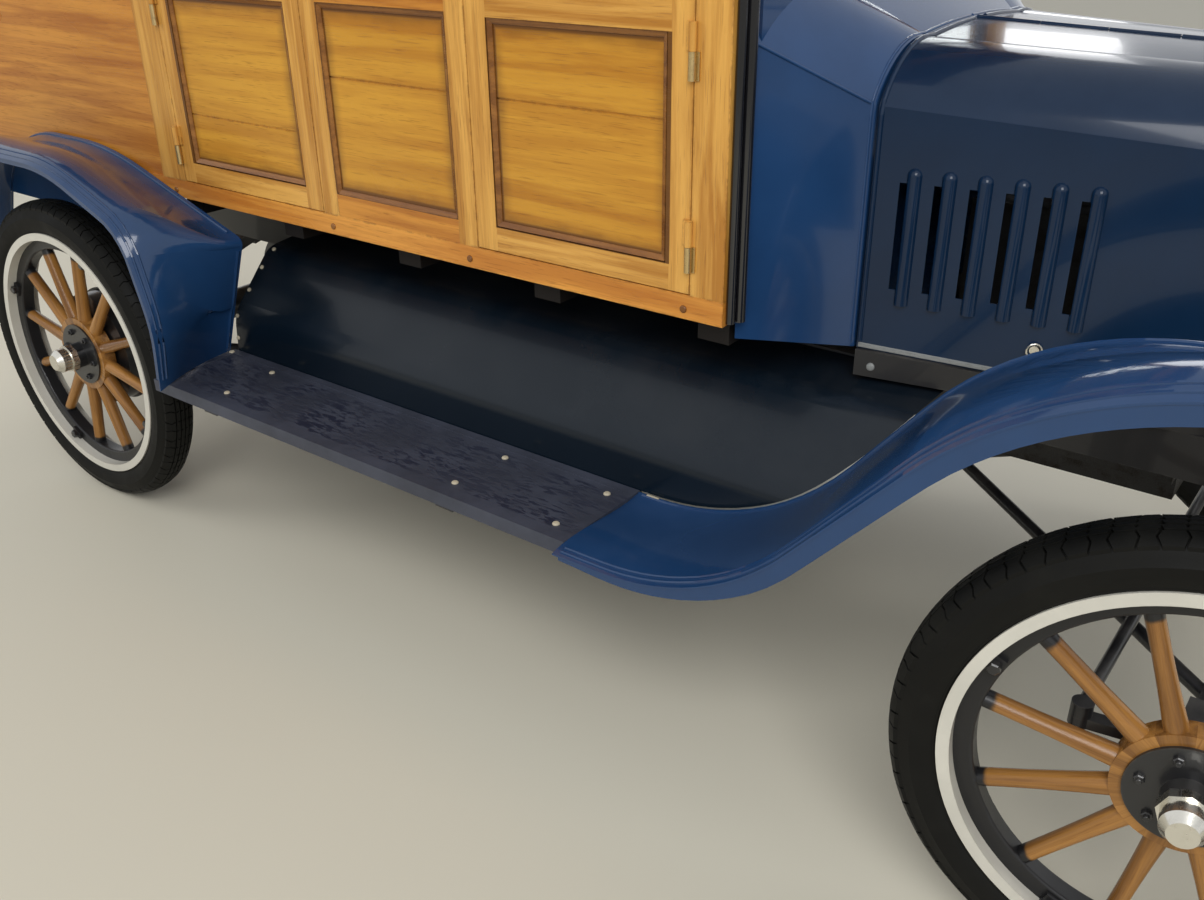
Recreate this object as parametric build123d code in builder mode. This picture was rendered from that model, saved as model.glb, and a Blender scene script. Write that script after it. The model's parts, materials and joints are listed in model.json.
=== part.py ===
"""A wood-bodied open wagon of the 1920s, as separate pieces at their real size.

Millimetres. +X points forward, +Y to the car's left and +Z up. The wheels stand on Z = 0, and the
origin is on the ground under the middle of the car's length.
"""

from build123d import *
from math import atan2, cos, degrees, radians, sin
import os

os.makedirs("parts", exist_ok=True)

# Driving dimensions: wheels and axles
wheelbase = 2540
front_overhang = 430
rear_overhang = 760
half_track = 711
wheel_radius = 381
tyre_width = 89
rim_width = 80
rim_seat_radius = 294
rim_flange_height = 14
rim_gauge = 4
felloe_depth = 27
felloe_width = 34
spoke_count = 12
spoke_butt_radius = 92
spoke_rest = 19.5
hub_flange_radius = 76
hub_flange_gauge = 5
hub_barrel_radius = 31
hub_cap_radius = 28
hub_reach = 92
spindle_radius = 17
fit_gap = 0.1
seat_gap = 0.3
drum_radius = 140
drum_depth = 46

# Driving dimensions: front axle and steering
steer_rest = 9
kingpin_inset = 62
kingpin_radius = 10
knuckle_height = 61
knuckle_radius = 20
ear_gauge = 20
steering_arm_length = 140
axle_beam_height = 44
axle_beam_width = 34
tie_rod_radius = 10
steering_wheel_radius = 205
steering_grip_radius = 13
column_radius = 19
column_offset = 240

# Driving dimensions: frame
frame_rise = 291
frame_half_width = 292
rail_height = 76
rail_flange = 38
rail_gauge = 5
crossmember_width = 60

# Driving dimensions: body
body_half_width = 575
body_wall = 30
post_depth = 60
sleeper_height = 70
bolster_height = 45
sill_height = 41
side_height = 472
post_height = 1032
roof_rail_height = 50
roof_crown = 95
roof_overhang = 25
roof_cover_gauge = 9
front_post_width = 62
front_door_width = 457
mid_panel_length = 420
rear_door_width = 468
rear_post_width = 87
mid_post_width = 45
tail_post_width = 60
door_gap = 2
panel_recess = 7
floor_gauge = 18

# Driving dimensions: hood, cowl and radiator
hood_length = 655
hood_gauge = 3
hood_rear_half_width = 365
hood_front_half_width = 260
hood_split = 6
hood_barrel_radius = 4
hood_barrel_count = 6
cowl_inset = 40
radiator_depth = 75
radiator_half_width = 262
louver_count = 6
louver_pitch = 53
louver_height = 220
louver_width = 24
louver_lift = 9

# Driving dimensions: fenders and boards
fender_half_width = 812
fender_body_gap = 2
front_fender_inset = 13
fender_gauge = 3
board_drop = 49
board_inset = 15
board_outer = 780
board_depth = 26
board_gauge = 4
apron_gauge = 3

# Places that follow from the driving dimensions
front_axle_x = (wheelbase + rear_overhang - front_overhang) / 2
rear_axle_x = front_axle_x - wheelbase
tail_x = rear_axle_x - rear_overhang
axle_z = wheel_radius
frame_top = axle_z + frame_rise
sill_z = frame_top + sleeper_height + bolster_height
sill_top = sill_z + sill_height
belt_z = sill_top + side_height
roof_rail_z = sill_top + post_height
roof_edge_z = roof_rail_z + roof_rail_height
board_top = axle_z + board_drop
kingpin_y = half_track - kingpin_inset
cowl_half_width = body_half_width - cowl_inset
fender_inner = body_half_width + fender_body_gap
front_fender_inner = body_half_width - front_fender_inset
board_inner = body_half_width - board_inset

# Stations along the body, from the front backwards
hood_rear_x = front_axle_x - 650
hood_front_x = hood_rear_x + hood_length
radiator_x = hood_front_x + 5
front_post_x = front_axle_x - 786
front_door_front = front_post_x - front_post_width
front_door_rear = front_door_front - front_door_width
mid_post_rear = front_door_rear - mid_panel_length
rear_door_rear = mid_post_rear - rear_door_width
rear_post_rear = rear_door_rear - rear_post_width
body_tail_x = tail_x + 25
board_rear_x = rear_axle_x + 401
board_front_x = front_axle_x - 955
frame_rear_x = rear_axle_x - 110
frame_front_x = front_axle_x + 92


def turned(vector, angle):
    """The vector turned about the vertical by an angle in degrees."""
    turn = radians(angle)
    return Vector(
        vector.X * cos(turn) - vector.Y * sin(turn),
        vector.X * sin(turn) + vector.Y * cos(turn),
        vector.Z,
    )


# Wheel masters, each about local +Z, which points out of the car
with BuildPart() as tyre_master:
    with BuildSketch(Plane.XZ):
        half = rim_width / 2 - rim_gauge
        shoulder = tyre_width / 2 - 15
        flange_top = rim_seat_radius + rim_flange_height
        bulge_radius = wheel_radius - tyre_width / 2
        tread_radius = wheel_radius - 6
        with BuildLine():
            Line((rim_seat_radius, -half), (rim_seat_radius, half))
            Line((rim_seat_radius, half), (flange_top + 1, half))
            ThreePointArc(
                (flange_top + 1, half),
                (bulge_radius, tyre_width / 2),
                (tread_radius, shoulder),
            )
            ThreePointArc((tread_radius, shoulder), (wheel_radius, 0), (tread_radius, -shoulder))
            ThreePointArc(
                (tread_radius, -shoulder),
                (bulge_radius, -tyre_width / 2),
                (flange_top + 1, -half),
            )
            Line((flange_top + 1, -half), (rim_seat_radius, -half))
        make_face()
    revolve(axis=Axis.Z)

with BuildPart() as rim_master:
    with BuildSketch(Plane.XZ):
        with Locations((rim_seat_radius - rim_gauge / 2, 0)):
            Rectangle(rim_gauge, rim_width)
        for edge in (-1, 1):
            with Locations((rim_seat_radius, edge * (rim_width - rim_gauge) / 2)):
                Rectangle(rim_flange_height, rim_gauge, align=(Align.MIN, Align.CENTER))
    revolve(axis=Axis.Z)

felloe_outer = rim_seat_radius - rim_gauge
felloe_inner = felloe_outer - felloe_depth
# Spoke sections: radius from the hub, half width across the car, half width round the wheel
spoke_sections = [
    (hub_flange_radius, 16.5, 16.5),
    (hub_flange_radius + 50, 15.5, 14),
    (felloe_inner + 6, 14, 12.5),
]
with BuildPart() as spoke_master:
    for reach, half_across, half_round in spoke_sections:
        with BuildSketch(Plane.YZ.offset(reach)):
            Ellipse(half_round, half_across)
    loft()

with BuildPart() as wheel_wood_master:
    with BuildSketch(Plane.XZ):
        with Locations(((felloe_inner + felloe_outer) / 2, 0)):
            RectangleRounded(felloe_depth, felloe_width, 5)
        with Locations((felloe_outer - 4, 0)):
            Rectangle(8, felloe_width)
        with Locations((hub_barrel_radius, 0)):
            Rectangle(
                spoke_butt_radius - hub_barrel_radius, felloe_width, align=(Align.MIN, Align.CENTER)
            )
    revolve(axis=Axis.Z)
    with PolarLocations(0, spoke_count):
        add(spoke_master.part)
    # Four rim lugs on the outer face of the felloe
    with Locations(Plane.XY.offset(felloe_width / 2)):
        with PolarLocations(felloe_outer - 11, 4, start_angle=45):
            Box(20, 30, 7, align=(Align.CENTER, Align.CENTER, Align.MIN))
            Cylinder(7, 14, align=(Align.CENTER, Align.CENTER, Align.MIN))

# Hub profiles: rings of (inner height, outer height, radius) along the axle from the wheel's plane
inner_flange = -felloe_width / 2 - hub_flange_gauge
outer_flange = felloe_width / 2 + hub_flange_gauge
hub_rings = [
    (inner_flange, -felloe_width / 2, hub_flange_radius),
    (inner_flange, outer_flange + 22, hub_barrel_radius),
    (felloe_width / 2, outer_flange, hub_flange_radius),
    (outer_flange + 22, hub_reach - 12, hub_cap_radius),
]


with BuildPart() as hub_master:
    for low, high, radius in hub_rings:
        with Locations((0, 0, low)):
            Cylinder(radius, high - low, align=(Align.CENTER, Align.CENTER, Align.MIN))
    with BuildSketch(Plane.XY.offset(outer_flange + 22)):
        RegularPolygon(hub_cap_radius + 4, 8)
    extrude(amount=14)
    with Locations((0, 0, hub_reach - 12)):
        Cone(hub_cap_radius, hub_cap_radius - 9, 12, align=(Align.CENTER, Align.CENTER, Align.MIN))

with BuildPart() as front_hub_master:
    add(hub_master.part)
    with Locations((0, 0, inner_flange)):
        Cylinder(
            spindle_radius + fit_gap,
            hub_reach - 30 - inner_flange,
            align=(Align.CENTER, Align.CENTER, Align.MIN),
            mode=Mode.SUBTRACT,
        )

axle_shaft_radius = 15
axle_shaft_reach = 150
with BuildPart() as rear_hub_master:
    add(hub_master.part)
    # Brake drum, open towards the car
    with BuildSketch(Plane.XZ):
        with BuildLine():
            Polyline(
                (0, inner_flange),
                (drum_radius, inner_flange),
                (drum_radius, inner_flange - drum_depth),
                (drum_radius - 6, inner_flange - drum_depth),
                (drum_radius - 6, inner_flange - 6),
                (axle_shaft_radius, inner_flange - 6),
                (axle_shaft_radius, -axle_shaft_reach),
                (0, -axle_shaft_reach),
                close=True,
            )
        make_face()
    revolve(axis=Axis.Z)

# The four wheels: name, axle station, side, steering angle, hub
wheel_table = [
    ("front_left", front_axle_x, 1, steer_rest, front_hub_master),
    ("front_right", front_axle_x, -1, steer_rest, front_hub_master),
    ("rear_left", rear_axle_x, 1, 0, rear_hub_master),
    ("rear_right", rear_axle_x, -1, 0, rear_hub_master),
]
first_spoke = Vector(cos(radians(spoke_rest)), 0, sin(radians(spoke_rest)))
for corner, axle_x, side, angle, hub_master in wheel_table:
    outward = turned(Vector(0, side, 0), angle)
    pivot = Vector(axle_x, side * kingpin_y, axle_z)
    wheel_plane = Plane(
        origin=pivot + outward * kingpin_inset,
        x_dir=turned(first_spoke, angle),
        z_dir=outward,
    )
    wheel_pieces = [
        ("tyre", tyre_master),
        ("rim", rim_master),
        ("wheel_wood", wheel_wood_master),
        ("hub", hub_master),
    ]
    for piece_name, master in wheel_pieces:
        with BuildPart(wheel_plane) as wheel_piece:
            add(master.part)
        wheel_piece.part.label = f"{piece_name}_{corner}"
        export_step(wheel_piece.part, f"parts/{piece_name}_{corner}.step")

# Knuckles, built about the kingpin and turned to the steering angle
arm_gauge = 16
arm_z = 4
for name, side in (("knuckle_left", 1), ("knuckle_right", -1)):
    outward = turned(Vector(0, side, 0), steer_rest)
    knuckle_plane = Plane(
        origin=(front_axle_x, side * kingpin_y, axle_z),
        x_dir=turned(Vector(1, 0, 0), steer_rest),
        z_dir=(0, 0, 1),
    )
    pin_clearance = fit_gap if side > 0 else 4 * fit_gap
    with BuildPart(knuckle_plane) as knuckle:
        Cylinder(knuckle_radius, knuckle_height)
        # Steering arm to the rear with its eye
        with Locations((0, 0, arm_z + arm_gauge / 2)):
            Box(
                steering_arm_length, 22, arm_gauge, align=(Align.MAX, Align.CENTER, Align.CENTER)
            )
        with Locations((-steering_arm_length, 0, arm_z + arm_gauge / 2)):
            Cylinder(15, arm_gauge)
            Cylinder(6 + pin_clearance, arm_gauge, mode=Mode.SUBTRACT)
        # Spindle for the wheel
        with BuildSketch(Plane(knuckle_plane.origin, x_dir=(0, 0, 1), z_dir=outward)):
            Circle(spindle_radius)
        extrude(amount=kingpin_inset + hub_reach - 34)
        Cylinder(kingpin_radius + fit_gap, knuckle_height, mode=Mode.SUBTRACT)
    knuckle.part.label = name
    export_step(knuckle.part, f"parts/{name}.step")

# Tie rod behind the front axle, over the ends of both steering arms
arm_tip = turned(Vector(-steering_arm_length, 0, 0), steer_rest)
rod_z = axle_z + arm_z + arm_gauge + seat_gap
with BuildPart() as tie_rod:
    for side in (-1, 1):
        with Locations((front_axle_x + arm_tip.X, side * kingpin_y + arm_tip.Y, rod_z)):
            Cylinder(15, 2 * tie_rod_radius, align=(Align.CENTER, Align.CENTER, Align.MIN))
            Cylinder(6, arm_gauge + 6, align=(Align.CENTER, Align.CENTER, Align.MAX))
    with BuildSketch(Plane.XZ):
        with Locations((front_axle_x + arm_tip.X, rod_z + tie_rod_radius)):
            Circle(tie_rod_radius - 0.5)
    extrude(amount=kingpin_y - arm_tip.Y - 8)
    with BuildSketch(Plane.XZ):
        with Locations((front_axle_x + arm_tip.X, rod_z + tie_rod_radius)):
            Circle(tie_rod_radius - 0.5)
    extrude(amount=-(kingpin_y + arm_tip.Y - 8))
tie_rod.part.label = "tie_rod"
export_step(tie_rod.part, "parts/tie_rod.step")

# Front axle: an I beam with forked ends, kingpins, perches and the wishbone to the engine
perch_y = 455
perch_height = 40
wishbone_y = 520
wishbone_z = axle_z + 4
wishbone_radius = 11
ball_x = front_axle_x - 580
ball_radius = 24
with BuildPart() as front_axle:
    with BuildSketch(Plane.XZ) as beam_section:
        with Locations((front_axle_x, axle_z)):
            Rectangle(axle_beam_width, axle_beam_height)
            with Locations((axle_beam_width / 2, 0), (-axle_beam_width / 2, 0)):
                Rectangle(20, axle_beam_height - 20, mode=Mode.SUBTRACT)
    extrude(amount=kingpin_y - 45, both=True)
    ear_z = knuckle_height / 2 + seat_gap
    for side in (-1, 1):
        with Locations((front_axle_x, side * (kingpin_y - 45), axle_z)):
            Box(48, 30, 2 * (ear_z + ear_gauge))
        for level in (axle_z + ear_z, axle_z - ear_z - ear_gauge):
            with Locations((front_axle_x, side * kingpin_y, level)):
                Cylinder(26, ear_gauge, align=(Align.CENTER, Align.CENTER, Align.MIN))
            with Locations((front_axle_x, side * (kingpin_y - 25), level)):
                Box(48, 50, ear_gauge, align=(Align.CENTER, Align.CENTER, Align.MIN))
        with Locations((front_axle_x, side * kingpin_y, axle_z)):
            Cylinder(kingpin_radius, 2 * (ear_z + ear_gauge) + 12)
        with Locations((front_axle_x, side * perch_y, axle_z + axle_beam_height / 2)):
            Cylinder(15, perch_height, align=(Align.CENTER, Align.CENTER, Align.MIN))
        # Wishbone rod from the beam back to the ball
        rod_start = Vector(front_axle_x, side * wishbone_y, wishbone_z)
        rod_end = Vector(ball_x, 0, wishbone_z)
        with BuildSketch(Plane(rod_start, z_dir=rod_end - rod_start)):
            Circle(wishbone_radius)
        extrude(amount=(rod_end - rod_start).length)
    with Locations((ball_x, 0, wishbone_z)):
        Sphere(ball_radius)
front_axle.part.label = "front_axle"
export_step(front_axle.part, "parts/front_axle.step")

# Leaf springs: arched across the car, each leaf shorter than the one above it
leaf_gauge = 7
leaf_width = 57
leaf_count = 6
spring_half_span = perch_y
crossmember_z = frame_top - rail_height
spring_eye_z = axle_z + axle_beam_height / 2 + perch_height + 14
spring_rise = crossmember_z - spring_eye_z
spring_radius = (spring_half_span**2 + spring_rise**2) / (2 * spring_rise)
with BuildPart() as leaf_springs:
    for spring_x in (front_axle_x, rear_axle_x):
        for leaf in range(leaf_count):
            radius = spring_radius - leaf * leaf_gauge
            half_angle = degrees(atan2(spring_half_span, spring_radius - spring_rise))
            half_angle *= 1 - leaf / (leaf_count + 1)
            with BuildSketch(Plane.YZ.offset(spring_x - leaf_width / 2)):
                with BuildLine():
                    outer = CenterArc(
                        (0, crossmember_z - spring_radius), radius, 90 - half_angle, 2 * half_angle
                    )
                    inner = CenterArc(
                        (0, crossmember_z - spring_radius),
                        radius - leaf_gauge,
                        90 - half_angle,
                        2 * half_angle,
                    )
                    Line(outer @ 0, inner @ 0)
                    Line(outer @ 1, inner @ 1)
                make_face()
            extrude(amount=leaf_width)
        for side in (-1, 1):
            with Locations(
                Plane(
                    (spring_x, side * spring_half_span, spring_eye_z - leaf_gauge / 2),
                    z_dir=(1, 0, 0),
                )
            ):
                Cylinder(leaf_gauge + 3, leaf_width)
leaf_springs.part.label = "leaf_springs"
export_step(leaf_springs.part, "parts/leaf_springs.step")

# Rear axle: housing with its differential, torque tube, radius rods and backing plates
housing_radius = 38
differential_radius = 150
torque_tube_front = ball_x - 470
backing_y = half_track + inner_flange - drum_depth - 3
torque_z = axle_z + 30
with BuildPart() as rear_axle:
    with Locations(Plane((rear_axle_x, 0, axle_z), z_dir=(0, 1, 0))):
        Cylinder(housing_radius, 2 * backing_y)
        Cylinder(differential_radius, 110)
        with Locations((0, 0, backing_y - 2), (0, 0, 2 - backing_y)):
            Cylinder(drum_radius + 6, 4)
    with Locations((rear_axle_x, 0, axle_z)):
        Sphere(differential_radius - 8)
    tube_start = Vector(rear_axle_x, 0, axle_z)
    tube_end = Vector(torque_tube_front, 0, torque_z)
    with BuildSketch(Plane(tube_start, z_dir=tube_end - tube_start)):
        Circle(36)
    extrude(amount=(tube_end - tube_start).length)
    for side in (-1, 1):
        rod_start = Vector(rear_axle_x, side * (backing_y - 25), axle_z)
        rod_end = Vector(torque_tube_front - 60, 0, torque_z - 2)
        with BuildSketch(Plane(rod_start, z_dir=rod_end - rod_start)):
            Circle(11)
        extrude(amount=(rod_end - rod_start).length)
        with Locations((rear_axle_x, side * perch_y, axle_z + housing_radius - 8)):
            Box(
                leaf_width,
                30,
                spring_eye_z - 14 - axle_z - housing_radius + 8,
                align=(Align.CENTER, Align.CENTER, Align.MIN),
            )
    with Locations(Plane((rear_axle_x, 0, axle_z), z_dir=(0, 1, 0))):
        for end in (-1, 1):
            with Locations((0, 0, end * (backing_y - 60))):
                Cylinder(axle_shaft_radius + fit_gap, 130, mode=Mode.SUBTRACT)
rear_axle.part.label = "rear_axle"
export_step(rear_axle.part, "parts/rear_axle.step")

# Frame: two channels, open inwards, with bolt holes in their ends
frame_hole_radius = 6.5
frame_hole_pitch = 30
frame_hole_inset = 12
rail_centre_z = frame_top - rail_height / 2
with BuildPart() as frame_rails:
    for side in (-1, 1):
        with BuildSketch(Plane.YZ.offset(frame_rear_x)):
            with Locations((side * (frame_half_width - rail_flange / 2), rail_centre_z)):
                Rectangle(rail_flange, rail_height)
            with Locations((side * (frame_half_width - rail_gauge - rail_flange / 2), rail_centre_z)):
                Rectangle(rail_flange, rail_height - 2 * rail_gauge, mode=Mode.SUBTRACT)
        extrude(amount=frame_front_x - frame_rear_x)
    for end_x, inwards in ((frame_front_x, -1), (frame_rear_x, 1)):
        for hole in range(2):
            hole_x = end_x + inwards * (frame_hole_inset + hole * frame_hole_pitch)
            with Locations(Plane((hole_x, 0, rail_centre_z), z_dir=(0, 1, 0))):
                Cylinder(frame_hole_radius, 2 * frame_half_width + 10, mode=Mode.SUBTRACT)
frame_rails.part.label = "frame_rails"
export_step(frame_rails.part, "parts/frame_rails.step")

# Cross members between the rails, and the irons that carry the boards
board_iron_offsets = (594, 1297)
board_iron_gauge = 8
board_iron_width = 44
with BuildPart() as frame_crossmembers:
    for cross_x in (front_axle_x, rear_axle_x):
        with Locations((cross_x, 0, rail_centre_z)):
            Box(crossmember_width, 2 * (frame_half_width - rail_flange), rail_height)
            Box(crossmember_width, 2 * (frame_half_width - rail_gauge), rail_height - 2 * rail_gauge)
    with Locations(Plane((front_axle_x, 0, rail_centre_z), z_dir=(1, 0, 0))):
        Cylinder(15, crossmember_width, mode=Mode.SUBTRACT)
    for offset_x in board_iron_offsets:
        for side in (-1, 1):
            with BuildSketch(Plane.YZ.offset(rear_axle_x + offset_x - board_iron_width / 2)):
                iron_top = board_top - board_depth
                with BuildLine():
                    Polyline(
                        (side * frame_half_width, crossmember_z + 50),
                        (side * (frame_half_width + 30), crossmember_z + 40),
                        (side * (board_inner - 10), iron_top),
                        (side * (board_outer - 6), iron_top),
                        (side * (board_outer - 6), iron_top - board_iron_gauge),
                        (side * (board_inner - 14), iron_top - board_iron_gauge),
                        (side * (frame_half_width + 26), crossmember_z + 32),
                        (side * frame_half_width, crossmember_z + 10),
                        close=True,
                    )
                make_face()
            extrude(amount=board_iron_width)
frame_crossmembers.part.label = "frame_crossmembers"
export_step(frame_crossmembers.part, "parts/frame_crossmembers.step")

# Engine with its gearbox as one plain block, on arms to the frame, and the starting crank
engine_rear_x = ball_x
engine_front_x = front_axle_x - 170
crank_z = frame_top - rail_height / 2
crank_radius = 11
crank_handle_x = front_axle_x + 180
crank_throw = 158
case_foot_z = frame_top - 172
pan_z = case_foot_z - 50
gearbox_radius = 110
gearbox_length = 460
# Boxes of the block: half width, foot and top
engine_boxes = [
    (120, case_foot_z, crank_z + 60),
    (100, case_foot_z, frame_top + 251),
    (75, pan_z, case_foot_z + 10),
]
with BuildPart() as engine_block:
    for half_width, foot, top in engine_boxes:
        with Locations(((engine_rear_x + engine_front_x) / 2, 0, foot)):
            Box(
                engine_front_x - engine_rear_x,
                2 * half_width,
                top - foot,
                align=(Align.CENTER, Align.CENTER, Align.MIN),
            )
    with Locations(Plane((engine_rear_x, 0, pan_z + gearbox_radius), z_dir=(-1, 0, 0))):
        Cone(
            gearbox_radius,
            gearbox_radius - 50,
            gearbox_length,
            align=(Align.CENTER, Align.CENTER, Align.MIN),
        )
    # Socket over the ball of the wishbone
    with Locations((ball_x, 0, wishbone_z + ball_radius)):
        Cylinder(20, case_foot_z - wishbone_z, align=(Align.CENTER, Align.CENTER, Align.MIN))
    with Locations((engine_rear_x + 40, 0, crank_z)):
        Box(50, 2 * (frame_half_width - rail_gauge), 44)
    # Starting crank through the front cross member
    with Locations(Plane((engine_front_x - 10, 0, crank_z), z_dir=(1, 0, 0))):
        Cylinder(
            crank_radius,
            crank_handle_x + 20 - engine_front_x,
            align=(Align.CENTER, Align.CENTER, Align.MIN),
        )
    with Locations((crank_handle_x, 0, crank_z)):
        Box(14, 24, crank_throw + 12, align=(Align.CENTER, Align.CENTER, Align.MAX))
    with Locations(Plane((crank_handle_x, 0, crank_z - crank_throw), z_dir=(1, 0, 0))):
        Cylinder(crank_radius + 1, 110, align=(Align.CENTER, Align.CENTER, Align.MIN))
engine_block.part.label = "engine_block"
export_step(engine_block.part, "parts/engine_block.step")

# Exhaust: pipe under the floor and the drum of the muffler
exhaust_y = -190
muffler_z = frame_top - rail_height - 60
with BuildPart() as exhaust:
    with Locations(Plane((rear_axle_x + 330, exhaust_y, muffler_z), z_dir=(1, 0, 0))):
        Cylinder(55, 420, align=(Align.CENTER, Align.CENTER, Align.MIN))
        Cylinder(20, 1560, align=(Align.CENTER, Align.CENTER, Align.MIN))
        with Locations((0, 0, -120)):
            Cylinder(20, 130, align=(Align.CENTER, Align.CENTER, Align.MIN))
    # Straps from the drum up to the frame rail
    for strap_x in (rear_axle_x + 370, rear_axle_x + 690):
        with Locations((strap_x, exhaust_y - 50, muffler_z)):
            Box(26, 100, crossmember_z - muffler_z, align=(Align.CENTER, Align.CENTER, Align.MIN))
exhaust.part.label = "exhaust"
export_step(exhaust.part, "parts/exhaust.step")

# Fender rows, one per section from the inner edge outwards: distance from the middle of the car,
# then the corners of its path as (ahead of the axle, above the axle, corner radius)
fender_shoulder_y = fender_half_width - 112
fender_crown_y = fender_half_width - 22
front_foot = board_front_x - front_axle_x + seat_gap
front_fender_rows = [
    (
        front_fender_inner,
        (front_foot, board_drop, 0),
        (-692, board_drop + 2, 480),
        (-300, 534, 470),
        (300, 534, 225),
        (415, 229, 0),
    ),
    (
        fender_shoulder_y,
        (front_foot, board_drop, 0),
        (-675, board_drop + 3, 470),
        (-245, 580, 540),
        (338, 580, 235),
        (426, 224, 0),
    ),
    (
        fender_crown_y,
        (front_foot, board_drop, 0),
        (-665, board_drop + 3, 450),
        (-205, 588, 590),
        (350, 588, 240),
        (428, 219, 0),
    ),
    (
        fender_half_width,
        (front_foot, board_drop - 4, 0),
        (-664, board_drop - 1, 445),
        (-200, 572, 585),
        (348, 572, 235),
        (430, 215, 0),
    ),
]
rear_foot = board_drop + 6
rear_fender_rows = [
    (
        fender_inner,
        (404, rear_foot, 0),
        (455, 179, 260),
        (524, 341, 14),
        (60, 493, 800),
        (-380, 495, 330),
        (-535, 179, 0),
    ),
    (
        fender_shoulder_y,
        (428, rear_foot, 0),
        (474, 190, 260),
        (492, 388, 60),
        (120, 508, 600),
        (-385, 508, 330),
        (-541, 179, 0),
    ),
    (
        fender_crown_y,
        (468, rear_foot, 0),
        (496, 196, 260),
        (446, 410, 130),
        (180, 512, 430),
        (-388, 512, 330),
        (-545, 179, 0),
    ),
    (
        fender_half_width,
        (474, rear_foot - 4, 0),
        (492, 192, 250),
        (436, 398, 125),
        (180, 498, 420),
        (-386, 498, 325),
        (-541, 175, 0),
    ),
]


def fender_path(axle_x, corners):
    """The rounded path of a fender at one section, along its inner face."""
    points = [(axle_x + ahead, axle_z + above) for ahead, above, _ in corners]
    rounds = [radius for _, _, radius in corners[1:-1]]
    return FilletPolyline(*points, radius=rounds)


def fender_outline(axle_x, corners):
    """The thin closed outline of a fender at one section."""
    with BuildSketch() as outline:
        with BuildLine():
            fender_path(axle_x, corners)
            offset(amount=fender_gauge, side=Side.RIGHT)
        make_face()
    return outline.sketch


def skirt_outline(axle_x, corners, foot):
    """The flat sheet that closes a fender's inner side down to a height."""
    with BuildSketch() as outline:
        with BuildLine():
            path = fender_path(axle_x, corners)
            Polyline(path @ 1, ((path @ 1).X, 0), ((path @ 0).X, 0), path @ 0)
        make_face()
        offset(amount=fender_gauge / 2)
        with Locations((axle_x, foot)):
            Rectangle(
                2 * wheelbase,
                2 * foot,
                align=(Align.CENTER, Align.MAX),
                mode=Mode.SUBTRACT,
            )
    return outline.sketch


skirt_foot = frame_top + 18
for name, axle_x, rows in (
    ("front_fenders", front_axle_x, front_fender_rows),
    ("rear_fenders", rear_axle_x, rear_fender_rows),
):
    with BuildPart() as fenders:
        for across, *corners in rows:
            with BuildSketch(Plane.XZ.offset(-across)):
                add(fender_outline(axle_x, corners))
        loft()
        if rows is rear_fender_rows:
            with BuildSketch(Plane.XZ.offset(-fender_inner)):
                add(skirt_outline(axle_x, rows[0][1:], skirt_foot))
            extrude(amount=-fender_gauge)
        mirror(about=Plane.XZ)
    fenders.part.label = name
    export_step(fenders.part, f"parts/{name}.step")

# Running boards: trays open below, with a raised strip all round
board_length = board_front_x - board_rear_x
board_strip = 20
with BuildPart() as running_boards:
    with BuildSketch(Plane.XY.offset(board_top - board_depth)):
        with Locations(((board_front_x + board_rear_x) / 2, (board_inner + board_outer) / 2)):
            Rectangle(board_length, board_outer - board_inner)
    extrude(amount=board_depth)
    offset(
        amount=-board_gauge,
        openings=running_boards.faces().sort_by(Axis.Z)[0],
        kind=Kind.INTERSECTION,
    )
    with BuildSketch(Plane.XY.offset(board_top)):
        with Locations(((board_front_x + board_rear_x) / 2, (board_inner + board_outer) / 2)):
            Rectangle(board_length, board_outer - board_inner)
            Rectangle(
                board_length - 2 * board_strip,
                board_outer - board_inner - 2 * board_strip,
                mode=Mode.SUBTRACT,
            )
    extrude(amount=1.5)
    mirror(about=Plane.XZ)
running_boards.part.label = "running_boards"
export_step(running_boards.part, "parts/running_boards.step")

# Splash aprons: from the boards up to the frame, cut along the front fender's inner edge
apron_front_x = front_axle_x - 480
apron_rear_x = board_rear_x + 10
with BuildPart() as splash_aprons:
    with BuildSketch(Plane.YZ.offset(apron_rear_x)):
        with BuildLine():
            FilletPolyline(
                (board_inner - 1, board_top - board_depth + 2),
                (board_inner - 8, board_top + 90),
                (board_inner - 130, frame_top - 20),
                (frame_half_width + 1, frame_top - 4),
                radius=[90, 60],
            )
            offset(amount=apron_gauge, side=Side.LEFT)
        make_face()
    extrude(amount=apron_front_x - apron_rear_x)
    with BuildSketch(Plane.XZ.offset(-frame_half_width)):
        with BuildLine():
            raised_corners = [
                (ahead, above + seat_gap, radius) for ahead, above, radius in front_fender_rows[0][1:]
            ]
            low = fender_path(front_axle_x, raised_corners)
            Polyline(low @ 1, ((low @ 1).X, 0), ((low @ 0).X, 0), low @ 0)
        make_face()
    extrude(amount=-(board_outer - frame_half_width), mode=Mode.SUBTRACT)
    mirror(about=Plane.XZ)
splash_aprons.part.label = "splash_aprons"
export_step(splash_aprons.part, "parts/splash_aprons.step")

# Hood and cowl sections: half width, foot height, shoulder height, top height
hood_foot_front = frame_top + 30
hood_foot_rear = frame_top + 46
hood_shoulder_front = frame_top + 400
hood_shoulder_rear = frame_top + 438
hood_top_front = frame_top + 508
hood_top_rear = frame_top + 531
cowl_foot = sill_z - 30
cowl_shoulder = belt_z - 84
cowl_top = belt_z - 12


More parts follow.
